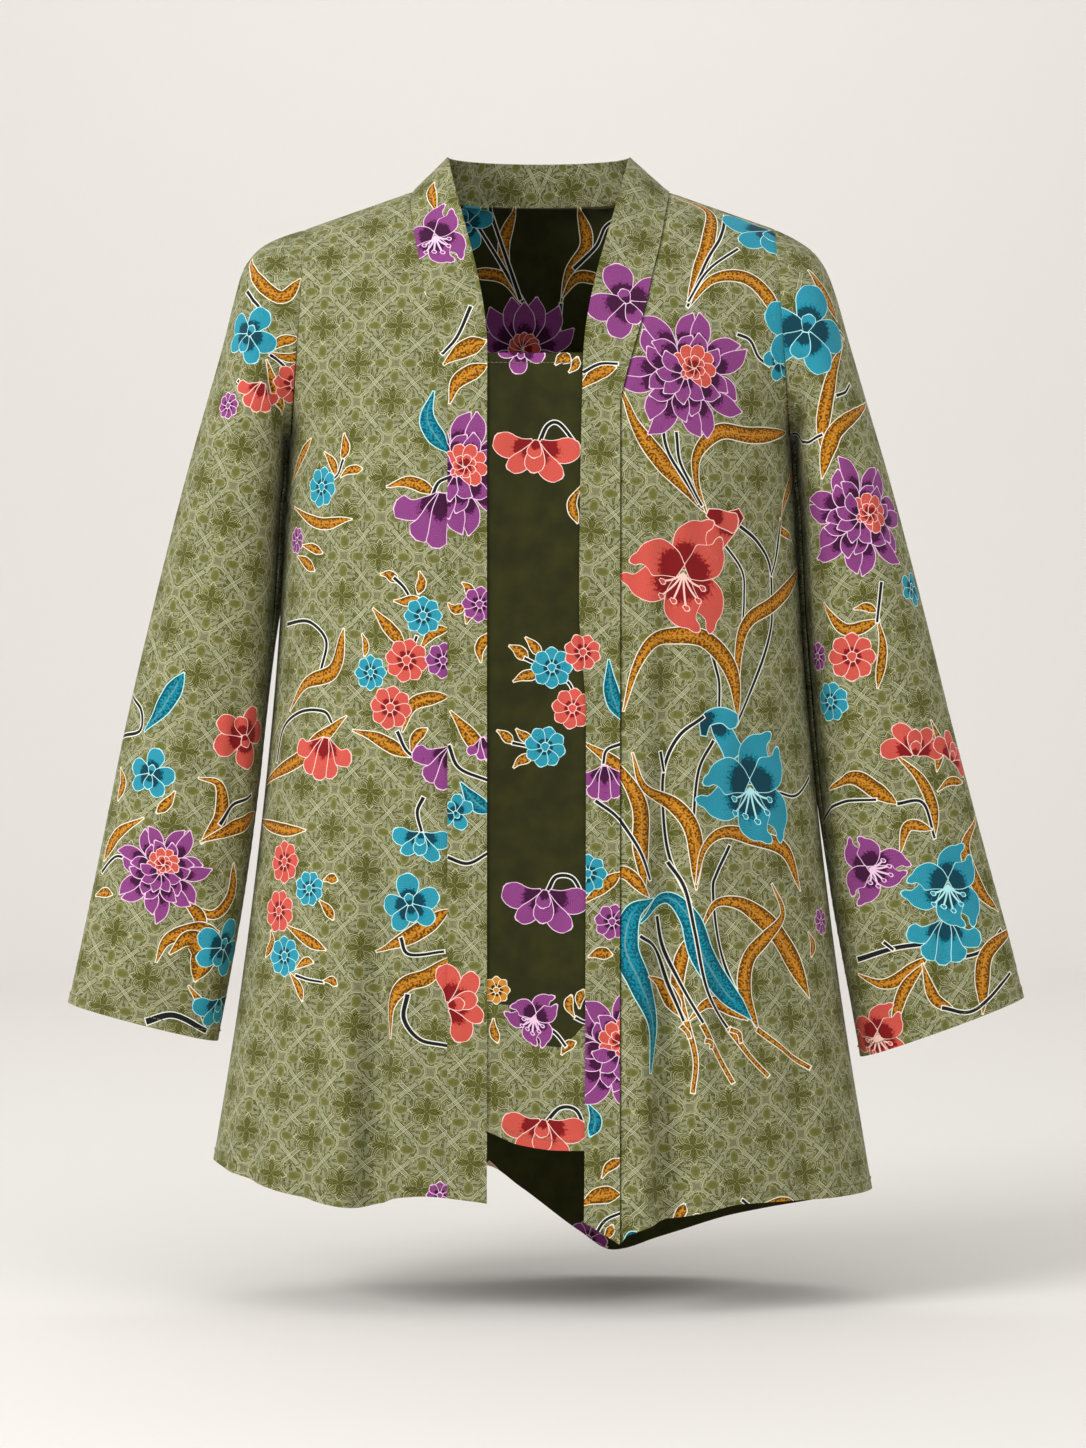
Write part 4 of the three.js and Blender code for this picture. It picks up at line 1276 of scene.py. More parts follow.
FRONT_STROKES = {
    "left": """shape dye width x y ...
leaf ochre 15 425 291 442 312 443 343
stem vine 2.6 471 306 458 336 442 353
leaf ochre 18 443 364 464 349 484 341
leaf teal 17 434 392 428 420 448 452
leaf ochre 10 292 485 302 456 311 439
leaf ochre 11 295 507 320 523 350 519
leaf ochre 9 325 452 332 462 337 475
leaf ochre 9 344 434 346 447 343 459
stem vine 2.2 344 459 338 474 329 481
leaf ochre 8 341 477 350 470 361 469
leaf ochre 8 303 545 312 547 322 553
leaf ochre 10 298 556 305 561 314 571
leaf ochre 12 387 487 410 482 436 493
stem vine 2.8 431 500 437 484 448 478
leaf ochre 9 381 574 389 575 397 582
leaf ochre 9 419 572 422 582 419 593
stem vine 2.4 394 578 404 588 412 600
leaf ochre 9 394 601 406 601 418 597
leaf ochre 12 374 609 390 629 405 645
leaf ochre 10 421 648 433 632 449 629
leaf ochre 7 361 634 365 645 363 656
stem vine 2.2 417 636 412 648
leaf ochre 13 403 732 411 706 430 699 449 696
leaf ochre 13 353 730 378 739 409 757
leaf ochre 10 411 752 416 738 427 729
stem vine 2.6 397 732 408 752 432 765
stem vine 2.8 424 797 417 812 421 832
leaf ochre 16 373 952 410 937 450 909
stem vine 2.6 402 938 410 955 444 952
stem vine 2.8 287 624 309 621 325 640 321 671
leaf ochre 15 290 711 305 684 333 669 344 629
stem vine 2.8 277 762 283 729 299 712 322 711 331 724
leaf ochre 15 265 789 299 759 322 737 347 716
leaf ochre 12 262 820 283 829 306 830
leaf ochre 9 323 881 330 879 337 880
leaf ochre 9 320 901 327 909 332 919
leaf ochre 11 286 926 305 938 325 950
leaf ochre 8 271 930 272 942 266 957
leaf ochre 8 296 968 306 962 313 962
stem vine 2.2 296 975 308 980 322 983
leaf ochre 8 322 981 330 980 337 985
leaf ochre 8 290 974 299 987 303 1001
leaf ochre 15 391 1038 392 1006 406 985 427 977 449 957
stem vine 3.2 408 994 405 1019 419 1040 448 1046
leaf ochre 9 330 760 324 749 326 738""",
    "right": """shape dye width x y ...
leaf ochre 14 663 196 707 210 709 240 699 272 687 306
leaf ochre 14 688 308 712 280 742 277 766 294 785 335
stem vine 2.6 726 215 720 237 707 261 688 306
stem vine 2.2 738 249 708 270 689 302
stem vine 2.6 737 334 750 340 758 356 770 366
leaf ochre 17 620 386 636 424 661 460 682 481 707 512
leaf ochre 17 707 512 696 479 699 451 720 432 753 435 786 432
stem vine 2.6 662 411 666 446 682 476 699 503
stem vine 2.4 677 432 680 460 690 484 703 506
leaf ochre 9 780 524 785 498 792 458
leaf ochre 9 791 540 783 530 779 519
stem vine 2.8 737 524 757 542 770 566 772 604 770 630 755 684 737 724
stem vine 2.4 783 520 776 560 771 575
stem vine 2.2 720 540 742 571 744 597 742 632
stem vine 2.6 708 640 716 669 719 684 719 707
leaf ochre 15 737 712 739 650 749 620 775 602 797 564
leaf ochre 17 623 711 636 669 652 642 675 635 703 638 724 658 735 684 737 720
bell coral 30 741 514 722 530 700 556
bell coral 20 708 512 722 519 738 524
bell teal 24 712 716 722 730 736 756
bell teal 17 703 735 706 720 722 716 736 724
stem vine 2.6 703 717 680 735 666 771 665 818 672 861 690 902
stem vine 2.4 714 740 698 771 693 823 694 861
stem vine 2.4 662 752 666 772
leaf ochre 15 632 753 644 787 675 805 693 836 695 889
leaf ochre 16 590 746 616 766 639 805 641 849 645 889
leaf ochre 15 695 884 703 849 724 833 755 838 785 851 800 890
stem vine 2.6 729 846 716 874 713 890 719 939 736 992 756 1026
stem vine 2.4 809 777 796 795 778 793
stem vine 2.6 618 818 640 851 650 880
leaf ochre 12 590 899 621 873 649 897
leaf teal 24 651 1073 655 1026 641 986 625 948 633 913 655 899
leaf ochre 20 701 927 716 904 742 904 772 927 792 957 808 997
leaf ochre 15 772 884 783 914 766 938 748 960 745 992 758 1030
leaf ochre 12 688 1020 678 986 684 948 692 938
leaf ochre 13 649 977 666 986 680 1016
leaf ochre 13 689 1020 707 1003 728 1006 747 1020
leaf teal 24 640 922 668 898 690 919 701 954 722 986 750 1020
stem vine 2.6 640 936 660 951 672 989 686 1026
stem vine 2.6 660 916 666 948 681 983 704 1027
stem vine 2.6 669 862 684 888 695 933 707 992 731 1032
stem ochre 5 687 1022 695 1060 693 1092
stem ochre 5 702 1024 716 1052 733 1083
stem ochre 5 729 1029 746 1053 768 1076
stem ochre 5 757 1029 782 1048 810 1068
stem ochre 4 681 1026 687 1032 689 1038
stem ochre 4 704 1040 711 1042 711 1048
stem ochre 4 731 1029 738 1033 740 1043
leaf ochre 8 808 932 813 944 811 956
leaf ochre 9 764 1204 780 1201 796 1204
stem vine 2.4 742 1200 749 1206 757 1212
leaf ochre 8 676 1224 681 1214 685 1204
leaf ochre 8 690 1226 696 1219 704 1217
leaf teal 9 622 1244 634 1238 644 1242""",
}
FRONT_FLOWERS = {
    "left": """kind x y size turn dye
daisy 321.5 487.5 20 10 teal
daisy 285 502 22 0 coral
daisy 297 541 14 15 plum
daisy 423 616 19 0 teal
daisy 407 661 21 12 coral
daisy 370 673 17 0 teal
daisy 443 660 18 5 plum
daisy 390 708 22 10 coral
bell 442 494 54 187 plum
bell 452 748 42 196 plum
pea 421 833 28 185 teal
orchid 411 905 32 -10 teal
bell 272 652 30 100 plum
bell 325 738 42 190 coral
daisy 284 862 22 0 coral
daisy 309 889 17 20 teal
daisy 279 911 22 14 coral
daisy 284 957 20 0 teal
pea 448 1006 38 75 coral
daisy 440 1196 14 0 plum""",
    "right": """kind x y size turn dye
chrysanthemum 686 374 68 50 plum
pea 774 226 54 188 teal
orchid 781 362 21 -80 teal
orchid 806 332 54 12 teal
lily 684 574 60 8 coral
lily 752 788 60 0 teal
daisy 821 922 13 0 plum""",
}
FRONT_CREASES = {
    "left": """from_x from_y to_x to_y width depth bend
362 372 366 790 15.6 2.8 3
470 500 462 900 12 1.6 0
300 1190 404 1108 6 1.6 4
330 560 318 900 19.2 2.1 -4
446 1084 398 1112 4.8 1.4 0
276 470 300 520 8.4 1.8 3""",
    "right": """from_x from_y to_x to_y width depth bend
760 620 748 900 19.2 2.3 5
724 860 716 1150 15.6 2.6 -4
792 480 770 560 9.6 2.1 3
640 320 634 700 10.8 1.6 2
700 430 690 620 14.4 1.6 -3""",
}
FRONT_FOLDS = {
    "left": """from_s from_t to_s to_t width depth bend
36 240 60 800 22 10 -2
8 330 -4 760 20 4 3
-40 380 -66 780 20 4 2""",
    "right": """from_s from_t to_s to_t width depth bend
-46 60 -88 780 24 8 4
-70 300 -104 800 16 6 -3
34 330 30 780 22 4 3""",
}
BAND_SEAM_ON_FRONT = {"left": 0.8, "right": 1.9}
MID_FRONT = 24
fronts = {}
for side, sign in (("left", -1), ("right", 1)):
    form = front_form(side)
    fronts[side] = form
    start = first_guess(form, 84, MID_FRONT, sign)
    flat = flatten(form, start, 41, 17, ((84, MID_FRONT), (224, MID_FRONT)))
    place = onto_cloth(form, flat)
    piece, threads, size, area = sew(
        "front_" + side,
        form,
        flat,
        seen_from=1,
        drawing=draw(
            strokes_of(FRONT_STROKES[side], place), flowers_of(FRONT_FLOWERS[side], place)
        ),
        seams=(("inner", BAND_SEAM_ON_FRONT[side]), ("outer", 0.8), ("top", SEAM_GROOVE)),
        hems=("hem",),
        creases=creases_of(FRONT_CREASES[side], place) + creases_of(FRONT_FOLDS[side]),
        ground=SAGE_GROUND,
    )
    piece.data.materials.append(sage_batik)
    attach(piece, "root")
    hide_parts("front_" + side)
    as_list(threads)


# THE BANDS. Two straight strips of sage-ground cloth, joined at the centre back of the neck.
# Each is sewn round the neckline and down a front edge to the hem, and its free edge stands
# about 27 mm above the back neckline. The right band's outer edge stands proud of its front.
BAND_STAND, BAND_STAND_AT_BACK = 26, 28
BAND_AT_SHOULDER, BAND_AT_NAPE = -5, 48


def band_form(side, front):
    """A band's grid of places: half the back neck, then the front's edge down to the hem."""
    sign = -1 if side == "left" else 1
    free, hem_table = (FREE_LEFT, HEM_LEFT) if side == "left" else (FREE_RIGHT, HEM_RIGHT)
    round_neck = np.linspace(0, 1, 31)[:-1]
    even = 0.5 + 0.5 * sign * round_neck
    share = (1 - np.cos(np.pi * even)) / 2
    rise = (4 * share * (1 - share)) ** 0.5
    neck = np.stack([mix(-NECK_HALF, NECK_HALF, share), NECK_HOLLOW * rise, -NECK_DROP * rise], -1)
    turn = np.pi / 2 * round_neck
    top_x = read(free, "x", BAND_STAND) * np.sin(turn)
    top_y = mix(BAND_AT_SHOULDER, BAND_AT_NAPE, np.cos(turn))
    top = np.stack([top_x, top_y, mix(BAND_STAND, BAND_STAND_AT_BACK, np.cos(turn))], -1)
    seam = front[:, 0]
    z = seam[:, 2] + read(RISE, "rise", seam[:, 2])
    x = read(free, "x", z)
    row = np.linspace(0, 1, len(seam))
    z = z + row**6 * (read(hem_table, "z", x) - seam[:, 2])
    edge = np.stack([x, seam[:, 1] - read(RISE, "forward", seam[:, 2]), z], -1)
    seam, edge = np.concatenate([neck, seam]), np.concatenate([top, edge])
    return mix(seam[:, None], edge[:, None], np.linspace(0, 1, 13)[None, :, None])


BAND_STROKES = {
    "left": """shape dye width x y ...
leaf ochre 10 436 212 446 206 456 206
stem vine 2.8 471 306 458 336 442 353
leaf ochre 18 443 364 464 349 486 341
leaf ochre 16 450 403 459 381 488 364
leaf ochre 9 462 583 468 588 472 597
leaf ochre 9 448 604 455 609 464 606
leaf ochre 9 466 624 470 614 476 609
leaf ochre 10 481 662 480 648 488 634
leaf ochre 15 450 711 464 728 488 760
stem vine 2.8 449 745 459 768 488 781
leaf teal 15 461 783 474 800 490 812
stem vine 2.8 447 858 468 863 488 853""",
    "right": """shape dye width x y ...
leaf ochre 14 578 389 598 373 616 367
stem vine 2.4 583 372 600 364 618 363
leaf teal 15 609 660 611 692 622 720
leaf ochre 16 584 742 616 766 639 805
stem vine 2.4 621 744 607 750 603 764
stem vine 2.6 596 800 618 818 640 851
leaf ochre 12 584 903 621 873
leaf ochre 11 589 957 600 953 612 955
leaf teal 12 588 1105 596 1120 590 1136
leaf ochre 9 602 1178 608 1168 622 1160
leaf ochre 16 580 1206 598 1196 620 1194
stem vine 2.6 593 1241 604 1222 622 1212
leaf ochre 8 603 1240 609 1234 613 1226""",
}
BAND_FLOWERS = {
    "left": """kind x y size turn dye
lily 435 236 38 -10 plum
chrysanthemum 455 472 66 55 plum
daisy 480 604 18 5 plum
bell 482 738 22 160 plum
pea 448 1006 38 75 coral
orchid 455 812 20 150 teal""",
    "right": """kind x y size turn dye
orchid 628 303 46 -25 plum
bell 604 766 34 180 plum
daisy 588 874 19 0 teal
daisy 612 922 18 12 plum
chrysanthemum 620 1052 62 0 plum
daisy 583 652 18 20 coral""",
}
BAND_SEAM_ON_BAND = {"left": 0.8, "right": -0.6}
MID_BAND = 6
bands = {}
for side, sign in (("left", 1), ("right", -1)):
    form = band_form(side, fronts[side])
    bands[side] = form
    start = first_guess(form, 114, MID_BAND, sign)
    flat = flatten(form, start, 128, 4, ((114, MID_BAND), (254, MID_BAND)))
    place = onto_cloth(form, flat)
    piece, threads, size, area = sew(
        "band_" + side,
        form,
        flat,
        seen_from=1,
        drawing=draw(
            strokes_of(BAND_STROKES[side], place), flowers_of(BAND_FLOWERS[side], place)
        ),
        seams=(("inner", BAND_SEAM_ON_BAND[side]), ("top", SEAM_GROOVE)),
        hems=("hem",),
        creases=[],
        ground=SAGE_GROUND,
    )
    piece.data.materials.append(sage_batik)
    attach(piece, "root")
    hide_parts("band_" + side)
    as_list(threads)


# THE INNER PANEL. The narrow piece that fills the front between the bands, dark ground above a
# scalloped line and sage below. It lies behind both bands with 12 mm tucked under each, and
# its top and bottom are turned and stitched.
HEM_PANEL = table("x z", [(-51, -700), (-39, -703), (-15, -713), (14, -717), (44, -717)])


PANEL_TOP, PANEL_HEM = -132, (-700, -717)
PANEL_TUCK = 12
PANEL_FULLNESS, PANEL_BEHIND = 2, 1.85


def panel_form(bands):
    """The panel's grid of places, between the bands' free edges and tucked behind both."""
    share = np.linspace(0, 1, 190)
    ends = []
    for band, hem in zip(bands, PANEL_HEM):
        z = mix(PANEL_TOP, hem, share)
        width = np.linalg.norm(band[:, -1] - band[:, 0], axis=1)[:, None]
        for tuck in (PANEL_TUCK, 0):
            line = mix(band[:, -1], band[:, 0], tuck / width)
            order = np.argsort(line[:, 2])
            edge = [np.interp(z, line[order, 2], line[order, k]) for k in range(3)]
            ends.append(np.stack(edge, -1))
    left_end, left, right_end, right = ends
    t = np.linspace(0, 1, 25)[None, :]
    middle = mix(left[:, None], right[:, None], t[..., None])
    middle[..., 1] += PANEL_FULLNESS * np.sin(np.pi * t) ** 2
    dip = read(HEM_PANEL, "z", middle[..., 0]) - mix(*PANEL_HEM, t)
    middle[..., 2] += share[:, None] ** 3 * dip
    steps = np.linspace(0, 1, 5)[None, :, None]
    tuck_l = mix(left_end[:, None], left[:, None], steps[:, :-1])
    tuck_r = mix(right[:, None], right_end[:, None], steps[:, 1:])
    grid = np.concatenate([tuck_l, middle, tuck_r], 1)
    grid[..., 1] += PANEL_BEHIND
    return grid


PANEL_STROKES = """shape dye width x y ...
leaf ochre 11 556 364 563 358 571 361
leaf ochre 8 569 372 575 366 577 358
stem vine 3 539 443 547 426 560 424 579 448
leaf ochre 9 581 486 572 504 577 523
leaf ochre 11 510 646 518 650 527 660
leaf ochre 9 526 638 532 645 541 656
leaf ochre 10 513 682 524 676 539 674
stem vine 2.2 525 658 535 664 545 668
stem vine 2.2 560 676 570 684 574 694
leaf ochre 9 497 730 504 735 512 743
leaf ochre 9 516 729 522 735 531 742
leaf ochre 9 514 768 521 760 533 756
stem vine 2.2 512 743 524 746 536 748
stem vine 3 548 890 556 877 572 878 584 897
leaf ochre 8 494 1019 494 1030 498 1042
leaf ochre 8 574 1016 569 1006 571 996
leaf ochre 8 580 1008 579 999 583 991
stem vine 2.2 575 1018 583 1022 592 1023
leaf ochre 9 562 1054 567 1046 575 1042
stem vine 2.4 546 1027 556 1034 566 1046
stem vine 3 546 1122 560 1108 577 1111 586 1134
leaf teal 12 588 1105 596 1120 590 1136"""
PANEL_FLOWERS = """kind x y size turn dye
orchid 522 350 26 190 plum
pea 537 441 42 185 coral
daisy 552 667 20 0 teal
daisy 583 652 19 20 coral
daisy 573 708 20 10 coral
daisy 545 747 20 15 teal
pea 545 890 42 185 plum
lily 534 1018 28 20 plum
daisy 496 991 14 0 ochre
pea 544 1120 40 185 coral"""
PANEL_CREASES = """from_x from_y to_x to_y width depth bend
520 480 524 820 9 0.9 2
566 560 560 980 10 0.8 -2
508 830 514 1040 7 0.7 1"""
# The scalloped change of ground, in picture points, and how far past the panel its ends run.
SCALLOP = ((487, 1003), (508, 1005), (515, 1025), (540, 1045), (560, 1048), (575, 1035), (588, 1020))
PAST_PANEL, BELOW_PANEL = 90, 640
MID_PANEL = 16
form = panel_form((bands["left"], bands["right"]))
start = first_guess(form, 95, MID_PANEL, 1)
flat = flatten(form, start, 39, 17, ((0, MID_PANEL), (189, MID_PANEL)))
place = onto_cloth(form, flat)
edge = [tuple(place(point).round()) for point in SCALLOP]
sage = [(-PAST_PANEL, edge[0][1])] + edge
sage += [(PAST_PANEL, edge[-1][1]), (PAST_PANEL, BELOW_PANEL), (-PAST_PANEL, BELOW_PANEL)]
drawing = [{"polygon": np.array(sage, float), "kind": SAGE_GROUND}]
drawing += draw(strokes_of(PANEL_STROKES, place), flowers_of(PANEL_FLOWERS, place))
piece, threads, size, area = sew(
    "inner_panel",
    form,
    flat,
    seen_from=1,
    drawing=drawing,
    seams=(),
    hems=("hem", "top"),
    creases=creases_of(PANEL_CREASES, place),
    ground=DARK_GROUND,
)
piece.data.materials.append(olive_batik)
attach(piece, "root")
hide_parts("inner_panel")
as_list(threads)


# THE SLEEVES. Long set-in sleeves of sage-ground cloth, each one piece with its seam under the
# arm, eased into the armhole and narrowing to an open, stitched cuff. Creases drag from the
# armhole and run down the sleeve, front and back.

# Rings down a sleeve: its outer and inner sides, depth, elbow crease, tuck and swing forward.
SLEEVE_COLUMNS = "share outer_x outer_z inner_x inner_z depth crease tuck forward"
SLEEVE_LEFT = table(
    SLEEVE_COLUMNS,
    [
        (0, 179, -29, 190, -187, 60, 0, 0, 0),
        (0.03, 197, -35, 193.5, -188.5, 61, 0.01, 0, 0),
        (0.06, 213, -43.5, 194.5, -193, 62, 0.03, 4, 0),
        (0.1, 225.5, -59.5, 194.5, -204, 62.5, 0.05, 6, 0),
        (0.15, 232.5, -83, 195.5, -220, 62.5, 0.07, 7, 0),
        (0.21, 241, -117, 198, -242, 61.5, 0.09, 6, 0),
        (0.29, 254, -163, 199.5, -272, 59.5, 0.1, 7, 1),
        (0.38, 270.5, -222, 201.5, -305, 57, 0.1, 7, 2),
        (0.52, 293.5, -314, 204.5, -349, 52, 0.1, 4, 4),
        (0.66, 315, -407, 211, -430, 46, 0.09, 0, 6),
        (0.8, 333, -497, 222.5, -522, 40, 0.08, 0, 8),
        (0.93, 350.5, -582, 237.5, -609, 34, 0.06, 0, 10),
        (1, 358, -616, 244.5, -645, 31, 0.05, 0, 10),
    ],
)
SLEEVE_RIGHT = table(
    SLEEVE_COLUMNS,
    [
        (0, 179, -29, 190, -187, 60, 0, 0, 0),
        (0.03, 196, -38, 193.5, -188.5, 61, 0.01, 0, 0),
        (0.06, 208, -47, 194.5, -193, 62, 0.03, 4, 0),
        (0.1, 217, -60, 194.5, -204, 62.5, 0.05, 6, 0),
        (0.15, 224.5, -80, 195.5, -220, 62.5, 0.07, 7, 0),
        (0.21, 234, -113, 198, -242, 61.5, 0.09, 6, 0),
        (0.29, 248, -161, 199.5, -272, 59.5, 0.1, 7, 1),
        (0.38, 266, -222, 201, -305, 57, 0.1, 7, 2),
        (0.52, 290, -314, 204.5, -356, 52, 0.1, 8, 4),
        (0.66, 313, -407, 211.5, -440, 46, 0.09, 7, 6),
        (0.8, 336.5, -497, 221, -532, 40, 0.08, 2, 8),
        (0.93, 359.5, -582, 236, -621, 34, 0.06, 0, 10),
        (1, 366.5, -612, 242.5, -657, 31, 0.05, 0, 10),
    ],
)


def sleeve_form(side):
    """Rings from armhole to cuff, each from the underarm seam round by the front."""
    sign, rings = (-1, SLEEVE_LEFT) if side == "left" else (1, SLEEVE_RIGHT)
    share = (np.linspace(0, 1, 181) ** 1.25)[:, None]
    degrees = np.linspace(0, 360, 145)[None, :]
    angle = np.radians(degrees)

    def at(name):
        return read(rings, name, share)

    inner = (sign * at("inner_x"), at("inner_z"))
    outer = (sign * at("outer_x"), at("outer_z"))
    centre = [(a + b) / 2 for a, b in zip(inner, outer)]
    swell = 1 + at("crease") * np.exp(-(((degrees - 45) / 20) ** 2))
    leaving = np.maximum(1 - share / 0.03, 0)
    tuck = at("tuck") * np.exp(-(((degrees - 335) / 22) ** 2)) + leaving * 4 * np.abs(np.sin(angle))
    x = centre[0] + (inner[0] - centre[0]) * np.cos(angle) * swell - sign * tuck
    y = -at("forward") - at("depth") * np.sin(angle) * swell
    z = centre[1] + (inner[1] - centre[1]) * np.cos(angle) * swell
    return np.stack([x, y, z], -1)


SLEEVE_STROKES = {
    "left": """shape dye width x y ...
leaf ochre 14 252 260 262 284 283 297 300 279
stem vine 2.6 247 291 260 309 264 322
leaf ochre 10 268 352 281 342 297 338
leaf ochre 9 268 352 290 358 308 352
stem vine 2.4 270 354 282 364 290 374
leaf ochre 9 266 360 275 384 281 414
stem vine 2.4 238 380 247 390 258 388
leaf teal 18 144 731 160 712 184 673
stem vine 2.8 126 738 138 731 140 710 134 696
leaf ochre 10 174 792 168 803 157 813
leaf ochre 12 143 818 117 835 104 860
leaf ochre 9 121 768 123 782 118 800
stem vine 2.6 102 872 116 857 128 860
leaf ochre 14 198 778 219 785 220 818 201 843
leaf ochre 15 201 842 225 832 254 812
stem vine 2.8 220 824 234 805 251 795
leaf ochre 11 180 898 211 915 231 895 234 864
leaf ochre 12 181 900 198 914 202 931
leaf ochre 15 156 962 168 940 200 929 218 932
leaf ochre 24 170 953 188 938 204 953 195 982
leaf ochre 10 188 986 203 1008 208 1030
stem vine 5 146 1022 174 1016 206 1031
leaf ochre 9 96 896 104 893 112 895""",
    "right": """shape dye width x y ...
leaf ochre 13 808 270 822 289 837 320
stem vine 2.6 822 330 834 328 844 337
leaf ochre 14 843 338 834 370 823 419 823 453
leaf ochre 16 865 403 842 424 829 446 822 478
stem vine 2.6 792 434 806 442 822 434
stem vine 2.4 836 395 845 392 850 384
leaf ochre 12 824 603 846 629 880 620
leaf ochre 8 855 609 866 607 877 612
leaf ochre 9 878 618 883 649 878 688
stem vine 2.4 881 582 880 600 877 622
leaf ochre 10 931 720 940 743 937 771
leaf ochre 12 896 755 919 777 931 803 935 835
leaf ochre 16 830 789 854 778 876 790 898 804
stem vine 2.6 823 823 841 803 876 799
stem vine 2.6 897 804 923 803 935 838
leaf ochre 10 900 853 908 826 932 829
leaf ochre 14 975 815 966 846 979 889 998 911
leaf ochre 8 938 791 950 782 962 782
stem vine 4 858 959 893 949 928 944
stem vine 2.6 884 942 893 950
stem vine 3.2 938 959 979 953 1001 930
leaf ochre 13 859 975 889 984 928 958
leaf ochre 11 891 1044 901 996 924 964
leaf ochre 11 922 964 934 998 955 1010
leaf ochre 16 1010 926 987 953 983 1014
stem vine 3 942 1008 974 1010 1010 973""",
}
HIDDEN_SLEEVE_STROKES = {
    "left": """shape dye width s t ...
leaf ochre 11 -150 190 -176 150 -180 110 -160 84
leaf ochre 11 -140 190 -110 160 -100 120 -120 92
stem vine 2 -146 200 -150 150 -148 96
leaf ochre 12 -146 300 -110 280 -90 240 -96 196
leaf ochre 10 -150 310 -186 290 -200 250
stem vine 2 -148 320 -146 290 -140 262
leaf ochre 9 -120 -20 -140 -60 -130 -90
stem vine 2 -112 -20 -130 0 -142 24
leaf ochre 10 -170 370 -140 380 -120 410""",
    "right": """shape dye width s t ...
leaf ochre 11 150 210 180 170 186 130 170 104
leaf ochre 10 140 210 106 170 100 140 116 112
stem vine 2 146 220 150 160 146 118
stem vine 2 146 66 142 40 150 10
leaf ochre 11 130 330 100 300 92 260 104 226
leaf ochre 10 160 330 196 300 204 270
stem vine 2 146 350 146 330 142 306
leaf ochre 9 170 -40 190 -80 180 -110
leaf ochre 10 140 380 156 400 160 430""",
}
SLEEVE_FLOWERS = {
    "left": """kind x y size turn dye
orchid 248 336 34 30 teal
daisy 294 384 21 10 coral
bell 263 384 30 196 coral
orchid 150 774 28 15 teal
chrysanthemum 160 872 48 20 plum
orchid 244 735 36 170 coral
orchid 222 950 34 20 teal
pea 219 1000 32 185 teal
daisy 228 405 14 0 plum""",
    "right": """kind x y size turn dye
orchid 806 332 54 12 teal
chrysanthemum 862 517 60 60 plum
orchid 912 590 20 0 teal
daisy 852 657 24 0 coral
daisy 831 702 20 12 teal
daisy 818 657 15 0 plum
daisy 808 676 13 10 teal
pea 915 756 34 0 coral
pea 951 760 28 10 coral
lily 871 868 37 -60 plum
bell 946 920 44 184 teal
lily 948 886 46 0 teal
lily 878 1036 38 0 coral""",
}
HIDDEN_SLEEVE_FLOWERS = {
    "left": """kind s t size turn dye
chrysanthemum -150 60 48 30 plum
lily -140 240 44 -30 teal
daisy -96 150 17 0 coral
daisy -190 150 16 12 teal
orchid -170 340 28 20 coral
bell -110 -40 30 190 coral
daisy -120 330 14 0 plum""",
    "right": """kind s t size turn dye
chrysanthemum 146 90 46 -20 plum
lily 150 -20 42 30 coral
daisy 100 190 16 0 teal
daisy 184 190 17 12 coral
orchid 140 290 30 0 teal
pea 180 370 28 185 plum
daisy 110 370 14 0 coral""",
}
SLEEVE_CREASES = {
    "left": """from_x from_y to_x to_y width depth bend
259 352 277 452 7.2 3.5 -4
282 446 268 478 4.8 1.9 0
226 420 196 640 13.2 2.3 4
170 560 128 800 14.4 1.8 -3
244 640 232 880 9.6 2.4 3
212 880 188 1010 10.8 1.6 2""",
    "right": """from_x from_y to_x to_y width depth bend
808 352 792 440 7.2 2.8 4
812 480 822 700 9.6 2.4 -3
852 420 872 620 14.4 2.1 3
884 640 918 860 14.4 1.9 4
830 700 852 900 10.8 2.6 -3
930 880 950 1010 10.8 1.6 -2""",
}
HIDDEN_SLEEVE_CREASES = {
    "left": """from_s from_t to_s to_t width depth bend
-130 -90 -150 90 10 2.0 6
-180 -10 -150 130 9 1.5 -5
-110 80 -150 220 9 1.7 5
-170 210 -120 330 9 1.3 -6
-190 260 -160 420 8 1.0 3""",
    "right": """from_s from_t to_s to_t width depth bend
130 -80 156 60 9 1.7 -6
180 10 140 160 10 1.6 5
112 90 150 240 9 1.5 -5
184 220 130 320 9 1.4 5
200 280 170 430 8 1.0 -3""",
}
MID_SLEEVE, SEEN_COLUMNS = 36, 73
for side, sign in (("left", -1), ("right", 1)):
    form = sleeve_form(side)
    start = first_guess(form, 90, MID_SLEEVE, sign)
    flat = flatten(form, start, 31, 25, ((60, MID_SLEEVE), (180, MID_SLEEVE)))
    place = onto_cloth(form[:, :SEEN_COLUMNS], flat[:, :SEEN_COLUMNS])
    drawing = draw(
        strokes_of(SLEEVE_STROKES[side], place) + strokes_of(HIDDEN_SLEEVE_STROKES[side]),
        flowers_of(SLEEVE_FLOWERS[side], place) + flowers_of(HIDDEN_SLEEVE_FLOWERS[side]),
    )
    creases = creases_of(SLEEVE_CREASES[side], place) + creases_of(HIDDEN_SLEEVE_CREASES[side])
    piece, threads, size, area = sew(
        "sleeve_" + side,
        form,
        flat,
        seen_from=1,
        drawing=drawing,
        seams=(("top", 0.8), ("inner", 0.6), ("outer", 0.6)),
        hems=("hem",),
        creases=creases,
        ground=SAGE_GROUND,
    )
    piece.data.materials.append(sage_batik)
    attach(piece, "root")
    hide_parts("sleeve_" + side)
    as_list(threads)


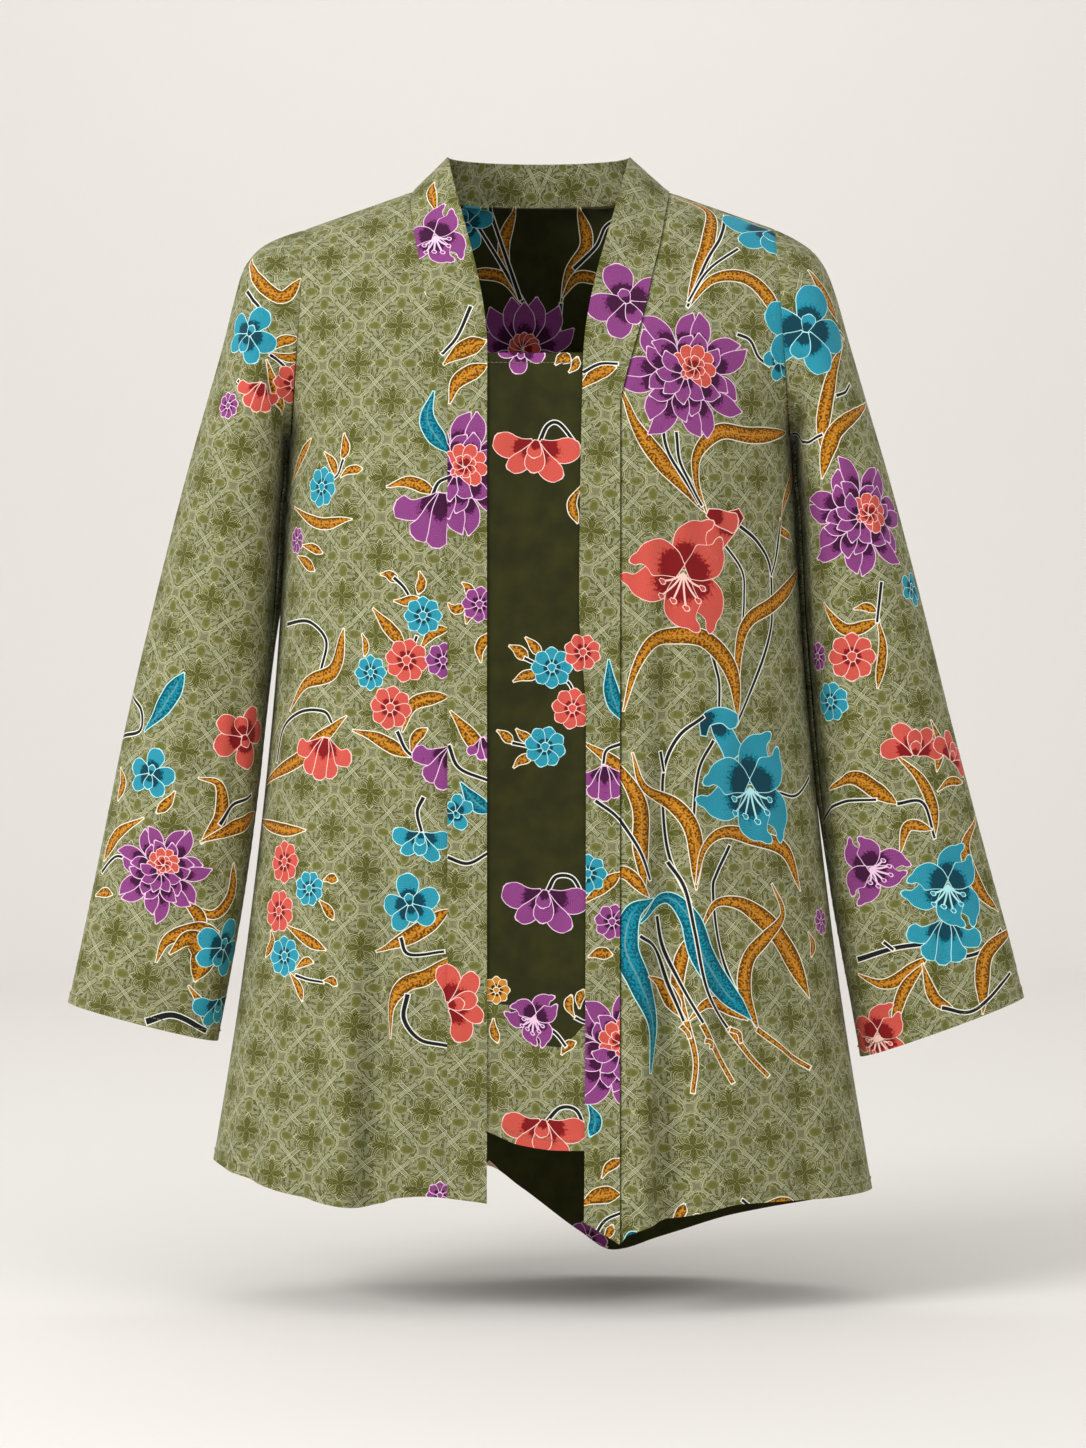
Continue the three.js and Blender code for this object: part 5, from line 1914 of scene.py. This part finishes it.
# THE STAGE, LIGHT AND CAMERA. A pale paper sweep under and behind the garment, soft lights from
# the left, right and above, one on the paper behind, and a camera level with its middle.
stage_mesh = bpy.data.meshes.new("studio_sweep")
FLOOR, FLOOR_START, FLOOR_END = -0.84, -3.5, 3.4
SWEEP_HIGH, SWEEP_HALF_WIDTH = 4, 5
profile = [(FLOOR_START, FLOOR), (FLOOR_END, FLOOR)]
for turn in np.linspace(0.15, math.pi / 2, 12):
    profile.append((FLOOR_END + math.sin(turn), FLOOR + 1 - math.cos(turn)))
profile.append((FLOOR_END + 1, FLOOR + SWEEP_HIGH))
points = [(x, y, z) for y, z in profile for x in (-SWEEP_HALF_WIDTH, SWEEP_HALF_WIDTH)]
faces = [(2 * k, 2 * k + 1, 2 * k + 3, 2 * k + 2) for k in range(len(profile) - 1)]
stage_mesh.from_pydata(points, [], faces)
stage_mesh.shade_smooth()
sweep = bpy.data.objects.new("studio_sweep", stage_mesh)
bpy.context.collection.objects.link(sweep)
paper = bpy.data.materials.new("Pale studio paper")
paper.use_nodes = True
paper_surface = paper.node_tree.nodes["Principled BSDF"]
paper_surface.inputs["Base Color"].default_value = colour("f2efea")
paper_surface.inputs["Roughness"].default_value = 0.9
stage_mesh.materials.append(paper)

world = bpy.data.worlds.new("Soft white room")
bpy.context.scene.world = world
bpy.context.scene.view_settings.view_transform = "Standard"
world.use_nodes = True
room = world.node_tree.nodes["Background"]
room.inputs["Color"].default_value = colour("f2f1ef")
room.inputs["Strength"].default_value = 0.5

for name, stand, target, size, power in (
    ("key_softbox", (-2.5, -2.0, 1.2), (0, 0, -0.35), 1.5, 78),
    ("fill_softbox", (2.4, -2.2, 0.4), (0, 0, -0.4), 2.0, 15),
    ("top_softbox", (0, -1.3, 2.2), (0, 0.1, -0.5), 4.0, 30),
    ("background_softbox", (0, 1.9, 2.6), (0, 4.2, -0.1), 2.4, 31),
):
    light = bpy.data.lights.new(name, "AREA")
    light.size, light.energy = size, power
    lamp = bpy.data.objects.new(name, light)
    lamp.location = stand
    lamp.rotation_euler = (Vector(target) - Vector(stand)).to_track_quat("-Z", "Y").to_euler()
    bpy.context.collection.objects.link(lamp)

lens = bpy.data.cameras.new("camera")
lens.sensor_width, lens.lens = 36, 93.4
camera = bpy.data.objects.new("camera", lens)
camera.location = (LOOKED_AT[0] / 1000, -CAMERA_BACK / 1000, LOOKED_AT[1] / 1000)
camera.rotation_euler = (math.pi / 2, 0, 0)
bpy.context.collection.objects.link(camera)
bpy.context.scene.camera = camera
